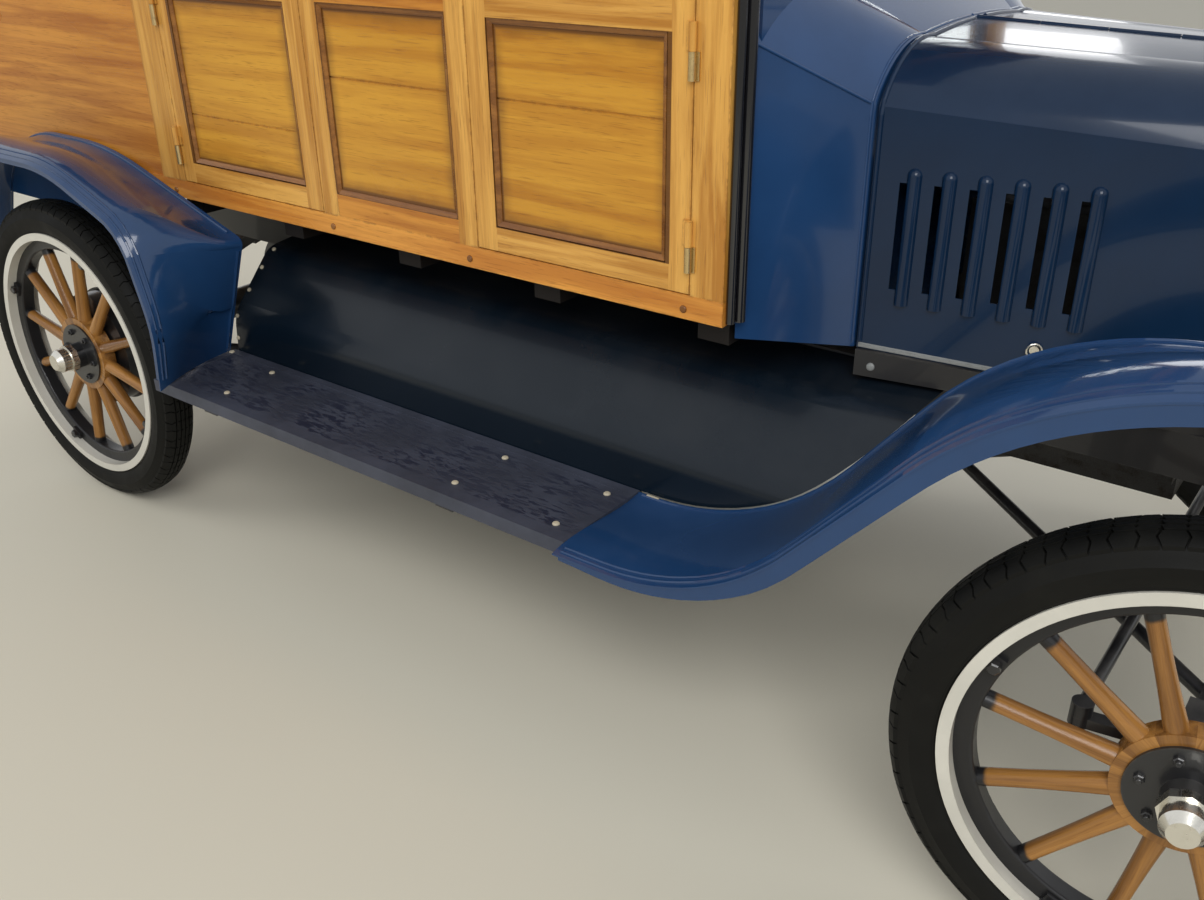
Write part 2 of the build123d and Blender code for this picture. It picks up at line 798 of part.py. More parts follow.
def dome(half_width, foot, shoulder, top, gauge=0):
    """A closed outline with upright sides, round shoulders and a crowned top."""
    wide = half_width - gauge
    rise = top - gauge - shoulder
    with BuildSketch() as outline:
        with BuildLine():
            Polyline((-wide, shoulder), (-wide, foot), (wide, foot), (wide, shoulder))
            ThreePointArc(
                (wide, shoulder),
                (wide * 0.86, shoulder + rise * 0.62),
                (wide * 0.55, shoulder + rise * 0.9),
            )
            ThreePointArc(
                (wide * 0.55, shoulder + rise * 0.9),
                (0, shoulder + rise),
                (-wide * 0.55, shoulder + rise * 0.9),
            )
            ThreePointArc(
                (-wide * 0.55, shoulder + rise * 0.9),
                (-wide * 0.86, shoulder + rise * 0.62),
                (-wide, shoulder),
            )
        make_face()
    return outline.sketch


hood_slant = degrees(atan2(hood_rear_half_width - hood_front_half_width, hood_length))
louver_first = 65
louver_z = hood_foot_rear + 194
louver_radius = louver_width / 2
louver_slot = 10
# Hood sections: station, half width, foot, shoulder and top
hood_rows = [
    (hood_rear_x, hood_rear_half_width, hood_foot_rear, hood_shoulder_rear, hood_top_rear),
    (hood_front_x, hood_front_half_width, hood_foot_front, hood_shoulder_front, hood_top_front),
]
ridge_plane = Plane(
    (hood_rear_x, 0, hood_top_rear),
    x_dir=(hood_length, 0, hood_top_front - hood_top_rear),
    z_dir=(hood_top_rear - hood_top_front, 0, hood_length),
)
hood_barrel_pitch = hood_length / hood_barrel_count
for name, side in (("hood_left", 1), ("hood_right", -1)):
    side_plane = Plane(
        (hood_rear_x, side * hood_rear_half_width, louver_z),
        x_dir=(cos(radians(hood_slant)), -side * sin(radians(hood_slant)), 0),
        z_dir=(sin(radians(hood_slant)), side * cos(radians(hood_slant)), 0),
    )
    louver_places = [(louver_first + louver * louver_pitch, 0, 0) for louver in range(louver_count)]
    with BuildPart() as hood:
        for station, half_width, foot, shoulder, top in hood_rows:
            with BuildSketch(Plane.YZ.offset(station)):
                add(dome(half_width, foot, shoulder, top))
        loft(ruled=True)
        # Louvers pressed out of the slanted side: a half round each, with a domed upper end
        with Locations(side_plane):
            with Locations(*louver_places):
                with Locations((0, side * louver_radius / 2, louver_lift - louver_radius)):
                    Cylinder(louver_radius, louver_height - louver_radius, rotation=(90, 0, 0))
                with Locations(
                    (0, side * (louver_radius - louver_height / 2), louver_lift - louver_radius)
                ):
                    Sphere(louver_radius)
        with BuildPart(mode=Mode.PRIVATE) as hood_space:
            for station, half_width, foot, shoulder, top in hood_rows:
                with BuildSketch(Plane.YZ.offset(station)):
                    add(dome(half_width, foot - 1, shoulder, top, hood_gauge))
            loft(ruled=True)
        add(hood_space.part, mode=Mode.SUBTRACT)
        # Each louver is open to the rear, through the sheet
        with Locations(side_plane):
            with Locations(*louver_places):
                with Locations((-louver_radius, 0, 0)):
                    Box(
                        2 * louver_slot,
                        louver_height - 2 * louver_width,
                        louver_slot,
                        mode=Mode.SUBTRACT,
                    )
        with Locations((hood_rear_x, side * -(hood_rear_half_width - hood_split), 0)):
            Box(
                hood_length * 3,
                2 * hood_rear_half_width,
                hood_top_rear * 3,
                mode=Mode.SUBTRACT,
            )
        # Hinge barrels along the ridge, which the two halves take in turn
        with Locations(ridge_plane):
            for barrel in range(0 if side > 0 else 1, hood_barrel_count, 2):
                with Locations(((barrel + 0.5) * hood_barrel_pitch, 0, 0)):
                    Cylinder(hood_barrel_radius, hood_barrel_pitch - 2, rotation=(0, 90, 0))
                    Box(
                        hood_barrel_pitch - 2,
                        hood_split + hood_barrel_radius,
                        hood_gauge - 1,
                        align=(Align.CENTER, Align.MIN if side > 0 else Align.MAX, Align.MAX),
                    )
    hood.part.label = name
    export_step(hood.part, f"parts/{name}.step")

# Cowl: a shell that widens from the hood to the body, with the dash across its front
cowl_gauge = 4
cowl_rear_x = front_post_x + seat_gap
cowl_front_x = hood_rear_x - 5
column_top = Vector(hood_rear_x - 450, column_offset, frame_top + 748)
column_foot = Vector(hood_rear_x + 170, column_offset, frame_top + 18)
column_plane = Plane(column_foot, z_dir=column_top - column_foot)
cowl_rows = [
    (cowl_rear_x, cowl_half_width, cowl_foot, cowl_shoulder, cowl_top),
    (cowl_front_x, hood_rear_half_width, hood_foot_rear, hood_shoulder_rear, hood_top_rear),
]
with BuildPart() as cowl:
    for station, half_width, foot, shoulder, top in cowl_rows:
        with BuildSketch(Plane.YZ.offset(station)):
            add(dome(half_width, foot, shoulder, top))
    loft(ruled=True)
    with BuildPart(mode=Mode.PRIVATE) as cowl_space:
        for station, half_width, foot, shoulder, top in cowl_rows:
            with BuildSketch(Plane.YZ.offset(station)):
                add(dome(half_width, foot - 1, shoulder, top, cowl_gauge))
        loft(ruled=True)
    add(cowl_space.part, mode=Mode.SUBTRACT)
    # Dash board across the front end, with a hole for the steering column
    with BuildSketch(Plane.YZ.offset(cowl_front_x - 12)):
        add(dome(hood_rear_half_width, hood_foot_rear, hood_shoulder_rear, hood_top_rear, 1))
    extrude(amount=12)
    # Instrument board under the windshield
    with Locations((cowl_rear_x, 0, belt_z)):
        Box(12, 2 * (body_half_width - post_depth), 130, align=(Align.MIN, Align.CENTER, Align.MAX))
    with Locations(column_plane):
        Cylinder(column_radius + 3, 3000, mode=Mode.SUBTRACT)
cowl.part.label = "cowl"
export_step(cowl.part, "parts/cowl.step")

# Radiator: plated shell with its filler cap, and the finned core inside it
radiator_top = hood_top_front + 6
radiator_shoulder = hood_shoulder_front + 4
shell_rim = 26
with BuildPart() as radiator_shell:
    with BuildSketch(Plane.YZ.offset(radiator_x)):
        add(dome(radiator_half_width, frame_top, radiator_shoulder, radiator_top))
        add(
            dome(
                radiator_half_width - shell_rim,
                frame_top + 60,
                radiator_shoulder - 30,
                radiator_top - shell_rim,
            ),
            mode=Mode.SUBTRACT,
        )
    extrude(amount=radiator_depth)
    with Locations((radiator_x + radiator_depth / 2, 0, radiator_top - 4)):
        Cylinder(22, 18, align=(Align.CENTER, Align.CENTER, Align.MIN))
        Cylinder(30, 9, align=(Align.CENTER, Align.CENTER, Align.MIN))
        Cylinder(33, 30, align=(Align.CENTER, Align.CENTER, Align.MIN))
radiator_shell.part.label = "radiator_shell"
export_step(radiator_shell.part, "parts/radiator_shell.step")

core_groove_count = 17
core_groove_pitch = 2 * (radiator_half_width - shell_rim) / (core_groove_count + 1)
with BuildPart() as radiator_core:
    with BuildSketch(Plane.YZ.offset(radiator_x + 6)):
        add(
            dome(
                radiator_half_width - shell_rim,
                frame_top + 60,
                radiator_shoulder - 30,
                radiator_top - shell_rim,
            )
        )
    extrude(amount=radiator_depth - 22)
    with BuildSketch(Plane.YZ.offset(radiator_x + radiator_depth - 16)):
        with Locations((0, (frame_top + 60 + radiator_top) / 2)):
            with GridLocations(core_groove_pitch, 1, core_groove_count, 1):
                Rectangle(12, radiator_top - frame_top - 60)
    extrude(amount=-8, mode=Mode.SUBTRACT)
radiator_core.part.label = "radiator_core"
export_step(radiator_core.part, "parts/radiator_core.step")

# Lamps: two headlamps on irons from the frame, and the tail lamp under the rear sill
lamp_radius = 112
lamp_depth = 150
lamp_x = front_axle_x + 95
lamp_y = 350
lamp_z = frame_top + 265
tail_lamp_y = 420
tail_lamp_z = sill_z - 62
with BuildPart() as lamps:
    for side in (-1, 1):
        with BuildSketch(Plane((lamp_x, side * lamp_y, lamp_z), x_dir=(1, 0, 0), z_dir=(0, -1, 0))):
            with BuildLine():
                Line((0, 0), (lamp_depth, 0))
                Line((lamp_depth, 0), (lamp_depth, lamp_radius - 12))
                Line((lamp_depth, lamp_radius - 12), (lamp_depth + 10, lamp_radius - 12))
                Line((lamp_depth + 10, lamp_radius - 12), (lamp_depth + 10, lamp_radius))
                Line((lamp_depth + 10, lamp_radius), (lamp_depth - 8, lamp_radius))
                ThreePointArc((lamp_depth - 8, lamp_radius), (40, lamp_radius - 42), (0, 0))
            make_face()
        revolve(axis=Axis((lamp_x, side * lamp_y, lamp_z), (1, 0, 0)))
        # Iron from the rail up to the lamp
        with BuildLine() as iron_path:
            FilletPolyline(
                (frame_front_x - 20, side * (frame_half_width - 12), frame_top),
                (frame_front_x - 20, side * (frame_half_width - 12), frame_top + 70),
                (lamp_x + 90, side * lamp_y, frame_top + 120),
                (lamp_x + 90, side * lamp_y, lamp_z - lamp_radius + 20),
                radius=[24, 24],
            )
        with BuildSketch(
            Plane((frame_front_x - 20, side * (frame_half_width - 12), frame_top), z_dir=(0, 0, 1))
        ):
            Circle(11)
        sweep(path=iron_path.wire())
    with Locations(Plane((tail_x, tail_lamp_y, tail_lamp_z), z_dir=(1, 0, 0))):
        Cylinder(38, 70, align=(Align.CENTER, Align.CENTER, Align.MIN))
    with Locations((body_tail_x + 25, tail_lamp_y, sill_z)):
        Box(8, 40, 62, align=(Align.CENTER, Align.CENTER, Align.MAX))
lamps.part.label = "lamps"
export_step(lamps.part, "parts/lamps.step")

with BuildPart() as lamp_lenses:
    for side in (-1, 1):
        with Locations(Plane((lamp_x + lamp_depth, side * lamp_y, lamp_z), z_dir=(1, 0, 0))):
            Cylinder(lamp_radius - 12, 8, align=(Align.CENTER, Align.CENTER, Align.MIN))
lamp_lenses.part.label = "lamp_lenses"
export_step(lamp_lenses.part, "parts/lamp_lenses.step")

# Body sills: two long timbers under the doors and posts
post_y = body_half_width - post_depth / 2
with BuildPart() as body_sills:
    for side in (-1, 1):
        with Locations(((front_post_x + body_tail_x) / 2, side * post_y, sill_z)):
            Box(
                front_post_x - body_tail_x,
                post_depth,
                sill_height,
                align=(Align.CENTER, Align.CENTER, Align.MIN),
            )
body_sills.part.label = "body_sills"
export_step(body_sills.part, "parts/body_sills.step")

# Posts from the sills up to the roof rails: front face and width along the car
post_table = [
    (front_post_x, front_post_width),
    (front_door_rear, mid_post_width),
    (mid_post_rear + mid_post_width, mid_post_width),
    (rear_door_rear, rear_post_width),
    (body_tail_x + tail_post_width, tail_post_width),
]
with BuildPart() as body_posts:
    for front_face, width in post_table:
        for side in (-1, 1):
            with Locations((front_face - width / 2, side * post_y, sill_top)):
                Box(
                    width,
                    post_depth,
                    roof_rail_z - sill_top,
                    align=(Align.CENTER, Align.CENTER, Align.MIN),
                )
body_posts.part.label = "body_posts"
export_step(body_posts.part, "parts/body_posts.step")

# Timbers under the floor: two sleepers on the frame, the bolsters across them and the rear sill
sleeper_width = 46
bolster_width = 60
bolster_bearing = 20
bolster_count = 6
bolster_first_x = frame_rear_x + 60
bolster_last_x = front_post_x - 40
with BuildPart() as body_bolsters:
    with Locations((body_tail_x, 0, sill_z)):
        Box(
            tail_post_width,
            2 * (body_half_width - post_depth),
            sill_height,
            align=(Align.MIN, Align.CENTER, Align.MIN),
        )
    for side in (-1, 1):
        with Locations((frame_rear_x, side * (frame_half_width - sleeper_width / 2), frame_top)):
            Box(
                front_post_x - frame_rear_x,
                sleeper_width,
                sleeper_height,
                align=(Align.MIN, Align.CENTER, Align.MIN),
            )
    bolster_pitch = (bolster_last_x - bolster_first_x) / (bolster_count - 1)
    for index in range(bolster_count):
        bolster_x = bolster_first_x + index * bolster_pitch
        with Locations((bolster_x, 0, frame_top + sleeper_height)):
            Box(
                bolster_width,
                2 * (body_half_width - post_depth + bolster_bearing),
                bolster_height,
                align=(Align.CENTER, Align.CENTER, Align.MIN),
            )
body_bolsters.part.label = "body_bolsters"
export_step(body_bolsters.part, "parts/body_bolsters.step")

# Hood shelves: boards along the rails that the hood rests on
shelf_overhang = 8
with BuildPart() as hood_shelves:
    for side in (-1, 1):
        with BuildSketch(Plane.XY.offset(frame_top)):
            with BuildLine():
                Polyline(
                    (hood_rear_x + 2, side * (frame_half_width - 12)),
                    (hood_front_x - 2, side * (hood_front_half_width - 30)),
                    (hood_front_x - 2, side * (hood_front_half_width + shelf_overhang)),
                    (hood_rear_x + 2, side * (hood_rear_half_width + shelf_overhang)),
                    close=True,
                )
            make_face()
        extrude(amount=hood_foot_rear - seat_gap - frame_top)
    # The tops slope with the foot of the hood
    with BuildSketch(Plane.XZ.offset(-body_half_width)):
        with BuildLine():
            Polyline(
                (hood_rear_x, hood_foot_rear - seat_gap),
                (hood_front_x, hood_foot_front - seat_gap),
                (hood_front_x, hood_foot_rear + 20),
                (hood_rear_x, hood_foot_rear + 20),
                close=True,
            )
        make_face()
    extrude(amount=2 * body_half_width, mode=Mode.SUBTRACT)
hood_shelves.part.label = "hood_shelves"
export_step(hood_shelves.part, "parts/hood_shelves.step")

# Floor boards between the sills, and the sloping toe boards
floor_top = sill_z + floor_gauge
toe_rise = 70
toe_rear_x = front_door_front - 54
toe_front_x = cowl_front_x - 14
with BuildPart() as body_floor:
    with BuildSketch(Plane.XZ.offset(-(body_half_width - post_depth))):
        with BuildLine():
            Polyline(
                (body_tail_x + tail_post_width, sill_z),
                (toe_rear_x + 4, sill_z),
                (toe_front_x, sill_z + toe_rise),
                (toe_front_x, floor_top + toe_rise),
                (toe_rear_x, floor_top),
                (body_tail_x + tail_post_width, floor_top),
                close=True,
            )
        make_face()
    extrude(amount=2 * (body_half_width - post_depth))
    # The toe boards narrow with the cowl
    for side in (-1, 1):
        with BuildSketch(Plane.XY.offset(sill_z - 1)):
            with BuildLine():
                Polyline(
                    (front_post_x - front_post_width + 1, side * body_half_width),
                    (front_post_x, side * (cowl_half_width - cowl_gauge - 25)),
                    (cowl_front_x, side * (hood_rear_half_width - cowl_gauge - 6)),
                    (cowl_front_x, side * body_half_width),
                    close=True,
                )
            make_face()
        extrude(amount=300, mode=Mode.SUBTRACT)
body_floor.part.label = "body_floor"
export_step(body_floor.part, "parts/body_floor.step")

# Side panels: the fixed framed panel between the doors and the plain rear quarter
panel_y = body_half_width - body_wall
panel_foot_rail = 45
panel_top_rail = 75
panel_joint_width = 3
panel_joint_depth = 2
high_joint = 267
low_joint = 152
with BuildPart() as side_panels:
    with Locations((mid_post_rear + mid_post_width, panel_y, sill_top)):
        Box(
            mid_panel_length - 2 * mid_post_width,
            body_wall,
            side_height,
            align=(Align.MIN, Align.MIN, Align.MIN),
        )
    mid_panel_x = mid_post_rear + mid_panel_length / 2
    mid_panel_width = mid_panel_length - 2 * mid_post_width - 4
    mid_panel_height = side_height - panel_foot_rail - panel_top_rail
    with BuildSketch(Plane.XZ.offset(-body_half_width)):
        with Locations((mid_panel_x, sill_top + panel_foot_rail + mid_panel_height / 2)):
            RectangleRounded(mid_panel_width, mid_panel_height, 6)
    extrude(amount=panel_recess, mode=Mode.SUBTRACT)
    # Joint between the two boards of the panel
    with Locations((mid_panel_x, body_half_width, sill_top + high_joint)):
        Box(
            mid_panel_width,
            2 * (panel_recess + panel_joint_depth),
            panel_joint_width,
            mode=Mode.SUBTRACT,
        )
    with Locations((body_tail_x + tail_post_width, panel_y, sill_top)):
        Box(
            rear_post_rear - body_tail_x - tail_post_width,
            body_wall - 4,
            side_height,
            align=(Align.MIN, Align.MIN, Align.MIN),
        )
    mirror(about=Plane.XZ)
side_panels.part.label = "side_panels"
export_step(side_panels.part, "parts/side_panels.step")

# Doors: name, rear edge, front edge, side, hinge edge (1 front, -1 rear), height of the joint
# between the boards of the panel
door_table = [
    ("door_front_left", front_door_rear, front_door_front, 1, 1, high_joint),
    ("door_front_right", front_door_rear, front_door_front, -1, 1, high_joint),
    ("door_rear_left", rear_door_rear, mid_post_rear, 1, -1, low_joint),
    ("door_rear_right", rear_door_rear, mid_post_rear, -1, -1, low_joint),
]
door_stile = 48
door_top_rail = 78
door_foot_rail = 46
hinge_radius = 6
hinge_pin_radius = 3
hinge_leaf = 9
hinge_gauge = 3
hinge_height = 82
hinge_levels = (40, 330)
hinge_y = body_half_width + hinge_radius + seat_gap
for name, low_x, high_x, side, hinge_edge, joint_height in door_table:
    hinge_x = (high_x if hinge_edge > 0 else low_x) - hinge_edge * door_gap / 2
    with BuildPart() as door:
        with Locations(((low_x + high_x) / 2, side * (panel_y + body_wall / 2), sill_top + door_gap)):
            Box(
                high_x - low_x - 2 * door_gap,
                body_wall,
                side_height - door_gap,
                align=(Align.CENTER, Align.CENTER, Align.MIN),
            )
        panel_height = side_height - door_top_rail - door_foot_rail
        for face_y in (side * body_half_width, side * panel_y):
            with Locations(
                ((low_x + high_x) / 2, face_y, sill_top + door_foot_rail + panel_height / 2)
            ):
                Box(
                    high_x - low_x - 2 * door_stile,
                    2 * panel_recess,
                    panel_height,
                    mode=Mode.SUBTRACT,
                )
            with Locations(((low_x + high_x) / 2, face_y, sill_top + joint_height)):
                Box(
                    high_x - low_x - 2 * door_stile,
                    2 * (panel_recess + panel_joint_depth),
                    panel_joint_width,
                    mode=Mode.SUBTRACT,
                )
        for level in hinge_levels:
            leaf_z = sill_top + level + hinge_height / 2 + seat_gap
            with Locations((hinge_x, side * hinge_y, leaf_z)):
                Cylinder(
                    hinge_radius,
                    hinge_height / 2 - seat_gap,
                    align=(Align.CENTER, Align.CENTER, Align.MIN),
                )
                Cylinder(
                    hinge_pin_radius + fit_gap,
                    hinge_height / 2 - 4,
                    align=(Align.CENTER, Align.CENTER, Align.MIN),
                    mode=Mode.SUBTRACT,
                )
            with Locations((hinge_x - hinge_edge * (hinge_radius - 2), side * body_half_width, leaf_z)):
                Box(
                    hinge_leaf,
                    hinge_gauge,
                    hinge_height / 2 - seat_gap,
                    align=(
                        Align.MAX if hinge_edge > 0 else Align.MIN,
                        Align.MIN if side > 0 else Align.MAX,
                        Align.MIN,
                    ),
                )
    door.part.label = name
    export_step(door.part, f"parts/{name}.step")

# Fixed halves of the hinges, with their pins
gate_half_width = body_half_width - post_depth - door_gap
gate_hinge_x = body_tail_x - hinge_radius - seat_gap
gate_hinge_z = sill_top + door_gap / 2
gate_hinge_places = (-0.6, 0.6)
gate_barrel_length = 50
gate_leaf_height = 36
with BuildPart() as door_hinges:
    for _, low_x, high_x, side, hinge_edge, _ in door_table:
        hinge_x = (high_x if hinge_edge > 0 else low_x) - hinge_edge * door_gap / 2
        for level in hinge_levels:
            leaf_z = sill_top + level
            with Locations((hinge_x, side * hinge_y, leaf_z)):
                Cylinder(
                    hinge_radius,
                    hinge_height / 2 - seat_gap,
                    align=(Align.CENTER, Align.CENTER, Align.MIN),
                )
                Cylinder(
                    hinge_pin_radius,
                    hinge_height - 8,
                    align=(Align.CENTER, Align.CENTER, Align.MIN),
                )
            leaf_x = hinge_x + hinge_edge * (door_gap / 2 + 0.5)
            with Locations((leaf_x, side * body_half_width, leaf_z)):
                Box(
                    hinge_leaf,
                    hinge_gauge,
                    hinge_height / 2 - seat_gap,
                    align=(
                        Align.MIN if hinge_edge > 0 else Align.MAX,
                        Align.MIN if side > 0 else Align.MAX,
                        Align.MIN,
                    ),
                )
    # Tailgate hinges: a barrel on the rear sill beside each barrel of the gate, with a pin
    for across in gate_hinge_places:
        pin_y = across * gate_half_width
        fixed_y = pin_y + (gate_barrel_length + seat_gap) * (1 if across > 0 else -1)
        with Locations(Plane((gate_hinge_x, fixed_y, gate_hinge_z), z_dir=(0, 1, 0))):
            Cylinder(hinge_radius, gate_barrel_length)
        with Locations(Plane((gate_hinge_x, (pin_y + fixed_y) / 2, gate_hinge_z), z_dir=(0, 1, 0))):
            Cylinder(hinge_pin_radius, 2 * gate_barrel_length - 10)
        with Locations((body_tail_x, fixed_y, gate_hinge_z)):
            Box(
                hinge_radius + seat_gap,
                gate_barrel_length,
                gate_leaf_height,
                align=(Align.MAX, Align.CENTER, Align.MAX),
            )
door_hinges.part.label = "door_hinges"
export_step(door_hinges.part, "parts/door_hinges.step")

# Tailgate between the tail posts, on a long hinge along its outer foot
with BuildPart() as tailgate:
    with Locations((body_tail_x, 0, sill_top + door_gap)):
        Box(
            body_wall,
            2 * gate_half_width,
            side_height - door_gap,
            align=(Align.MIN, Align.CENTER, Align.MIN),
        )
    with Locations((body_tail_x, 0, sill_top + door_foot_rail + panel_height / 2)):
        with GridLocations(1, gate_half_width, 1, 2):
            Box(2 * panel_recess, gate_half_width - door_stile, panel_height, mode=Mode.SUBTRACT)
    for across in gate_hinge_places:
        barrel_y = across * gate_half_width
        with Locations(Plane((gate_hinge_x, barrel_y, gate_hinge_z), z_dir=(0, 1, 0))):
            Cylinder(hinge_radius, gate_barrel_length)
            Cylinder(hinge_pin_radius + fit_gap, gate_barrel_length, mode=Mode.SUBTRACT)
        with Locations((body_tail_x, barrel_y, gate_hinge_z + hinge_pin_radius + 1)):
            Box(
                hinge_radius + seat_gap,
                gate_barrel_length,
                gate_leaf_height,
                align=(Align.MAX, Align.CENTER, Align.MIN),
            )
tailgate.part.label = "tailgate"
export_step(tailgate.part, "parts/tailgate.step")

# Roof: rails, cross pieces and bows under a crowned deck
roof_front_x = front_post_x + 70
roof_rear_x = body_tail_x
roof_half = body_half_width + roof_overhang
deck_radius = (roof_half**2 + roof_crown**2) / (2 * roof_crown)
bow_gauge = 30
bow_count = 8


def roof_arc(low, high, half_width):
    """A band between two heights above the roof's edge, curved as the deck is."""
    centre_z = roof_edge_z + roof_crown - deck_radius
    angle = degrees(atan2(half_width, deck_radius - roof_crown))
    with BuildSketch() as outline:
        with BuildLine():
            under = CenterArc((0, centre_z), deck_radius + low, 90 - angle, 2 * angle)
            over = CenterArc((0, centre_z), deck_radius + high, 90 - angle, 2 * angle)
            Line(under @ 0, over @ 0)
            Line(under @ 1, over @ 1)
        make_face()
    return outline.sketch


header_gauge = 30
# Bows and headers: station of the rear face, thickness along the car, depth below the deck
roof_members = [
    (roof_rear_x + index * (front_post_x - 160 - roof_rear_x) / (bow_count - 1), 45, bow_gauge)
    for index in range(1, bow_count)
]
roof_members.append((roof_rear_x + 15, header_gauge, roof_crown + roof_rail_height))
roof_members.append((front_post_x - 45, header_gauge, roof_crown + roof_rail_height))
with BuildPart() as roof_frame:
    for side in (-1, 1):
        with Locations(((roof_front_x + roof_rear_x) / 2, side * post_y, roof_rail_z)):
            Box(
                roof_front_x - roof_rear_x,
                post_depth,
                roof_rail_height + roof_crown,
                align=(Align.CENTER, Align.CENTER, Align.MIN),
            )
    with BuildSketch(Plane.YZ.offset(roof_rear_x - 1)):
        add(roof_arc(0, 3 * roof_crown, roof_half + 60))
    extrude(amount=roof_front_x - roof_rear_x + 2, mode=Mode.SUBTRACT)
    for member_x, thickness, depth in roof_members:
        with BuildPart(mode=Mode.PRIVATE) as member:
            with Locations((member_x, 0, roof_rail_z)):
                Box(
                    thickness,
                    2 * (body_half_width - post_depth - seat_gap),
                    2 * roof_crown,
                    align=(Align.MIN, Align.CENTER, Align.MIN),
                )
            with BuildSketch(Plane.YZ.offset(member_x)):
                add(roof_arc(-depth, 0, roof_half + 60))
            extrude(amount=thickness, mode=Mode.INTERSECT)
        add(member.part)
roof_frame.part.label = "roof_frame"
export_step(roof_frame.part, "parts/roof_frame.step")

with BuildPart() as roof_cover:
    with BuildSketch(Plane.YZ.offset(tail_x + 2)):
        add(roof_arc(0, roof_cover_gauge, roof_half))
    extrude(amount=roof_front_x + roof_overhang - tail_x - 2)
roof_cover.part.label = "roof_cover"
export_step(roof_cover.part, "parts/roof_cover.step")

# Windshield between the front posts: an outer frame with a bar, and two panes
screen_x = front_post_x - 30
screen_half = body_half_width - post_depth
screen_bar = 22
screen_split = belt_z + 235
with BuildPart() as windshield_frame:
    with BuildSketch(Plane.YZ.offset(screen_x - screen_bar / 2)):
        with Locations((0, (belt_z + roof_rail_z) / 2)):
            Rectangle(2 * screen_half, roof_rail_z - belt_z)
            Rectangle(
                2 * (screen_half - screen_bar),
                roof_rail_z - belt_z - 2 * screen_bar,
                mode=Mode.SUBTRACT,
            )
        with Locations((0, screen_split)):
            Rectangle(2 * screen_half, screen_bar)
    extrude(amount=screen_bar)
windshield_frame.part.label = "windshield_frame"
export_step(windshield_frame.part, "parts/windshield_frame.step")

glass_gauge = 5
with BuildPart() as windshield_glass:
    for low, high in (
        (belt_z + screen_bar, screen_split - screen_bar / 2),
        (screen_split + screen_bar / 2, roof_rail_z - screen_bar),
    ):
        with Locations((screen_x, 0, low)):
            Box(
                glass_gauge,
                2 * (screen_half - screen_bar),
                high - low,
                align=(Align.CENTER, Align.CENTER, Align.MIN),
            )
windshield_glass.part.label = "windshield_glass"
export_step(windshield_glass.part, "parts/windshield_glass.step")

# Seats: a boarded box and back for each row, then the cushions as plain soft solids
seat_box_height = 250
seat_depth = 440
cushion_height = 120
seat_half_width = body_half_width - post_depth - 10
back_height = 480
back_gauge = 16
back_lean = 9
front_seat_setback = 372
rear_seat_setback = 345
seat_fronts = (front_door_front - front_seat_setback, mid_post_rear - rear_seat_setback)
with BuildPart() as seat_boxes:
    for seat_front in seat_fronts:
        with Locations((seat_front, 0, floor_top)):
            Box(
                seat_depth,
                2 * seat_half_width,
                seat_box_height,
                align=(Align.MAX, Align.CENTER, Align.MIN),
            )
            with Locations((-20, 0, 0)):
                Box(
                    seat_depth - 40,
                    2 * seat_half_width - 40,
                    seat_box_height - 20,
                    align=(Align.MAX, Align.CENTER, Align.MIN),
                    mode=Mode.SUBTRACT,
                )
        with BuildSketch(Plane.XZ.offset(-seat_half_width)):
            with BuildLine():
                foot = Vector(seat_front - seat_depth, floor_top + seat_box_height)
                lean = Vector(-sin(radians(back_lean)), cos(radians(back_lean)))
                Polyline(
                    (foot.X, floor_top),
                    (foot.X, foot.Y),
                    foot + lean * back_height,
                    foot + lean * back_height + Vector(-back_gauge, 0),
                    (foot.X - back_gauge, foot.Y),
                    (foot.X - back_gauge, floor_top),
                    close=True,
                )
            make_face()
        extrude(amount=2 * seat_half_width)
seat_boxes.part.label = "seat_boxes"
export_step(seat_boxes.part, "parts/seat_boxes.step")

with BuildPart() as seat_cushions:
    for seat_front in seat_fronts:
        with Locations((seat_front + 8, 0, floor_top + seat_box_height + seat_gap)):
            Box(
                seat_depth - 4,
                2 * seat_half_width - 6,
                cushion_height,
                align=(Align.MAX, Align.CENTER, Align.MIN),
            )
    fillet(seat_cushions.edges().filter_by(Axis.Y), 28)
seat_cushions.part.label = "seat_cushions"
export_step(seat_cushions.part, "parts/seat_cushions.step")

backrest_gauge = 100
with BuildPart() as seat_backs:
    for seat_front in seat_fronts:
        lean = radians(back_lean)
        rest_plane = Plane(
            (seat_front - seat_depth, 0, floor_top + seat_box_height),
            x_dir=(cos(lean), 0, sin(lean)),
            z_dir=(-sin(lean), 0, cos(lean)),
        )
        with BuildSketch(rest_plane.offset(cushion_height + 22)):
            with Locations((seat_gap, 0)):
                Rectangle(backrest_gauge, 2 * seat_half_width - 6, align=(Align.MIN, Align.CENTER))
        extrude(amount=back_height - cushion_height - 10)
    fillet(seat_backs.edges().filter_by(Axis.Y), 28)
seat_backs.part.label = "seat_backs"
export_step(seat_backs.part, "parts/seat_backs.step")

# Steering wheel on its column
with BuildPart() as steering_wheel:
    wheel_centre = column_plane.offset((column_top - column_foot).length)
    with Locations(wheel_centre):
        Torus(steering_wheel_radius - steering_grip_radius, steering_grip_radius)
        Cylinder(26, 26, align=(Align.CENTER, Align.CENTER, Align.CENTER))
        with PolarLocations(0, 4):
            with Locations((steering_wheel_radius / 2 - 4, 0, 0)):
                Box(steering_wheel_radius - 20, 18, 7)
steering_wheel.part.label = "steering_wheel"
export_step(steering_wheel.part, "parts/steering_wheel.step")

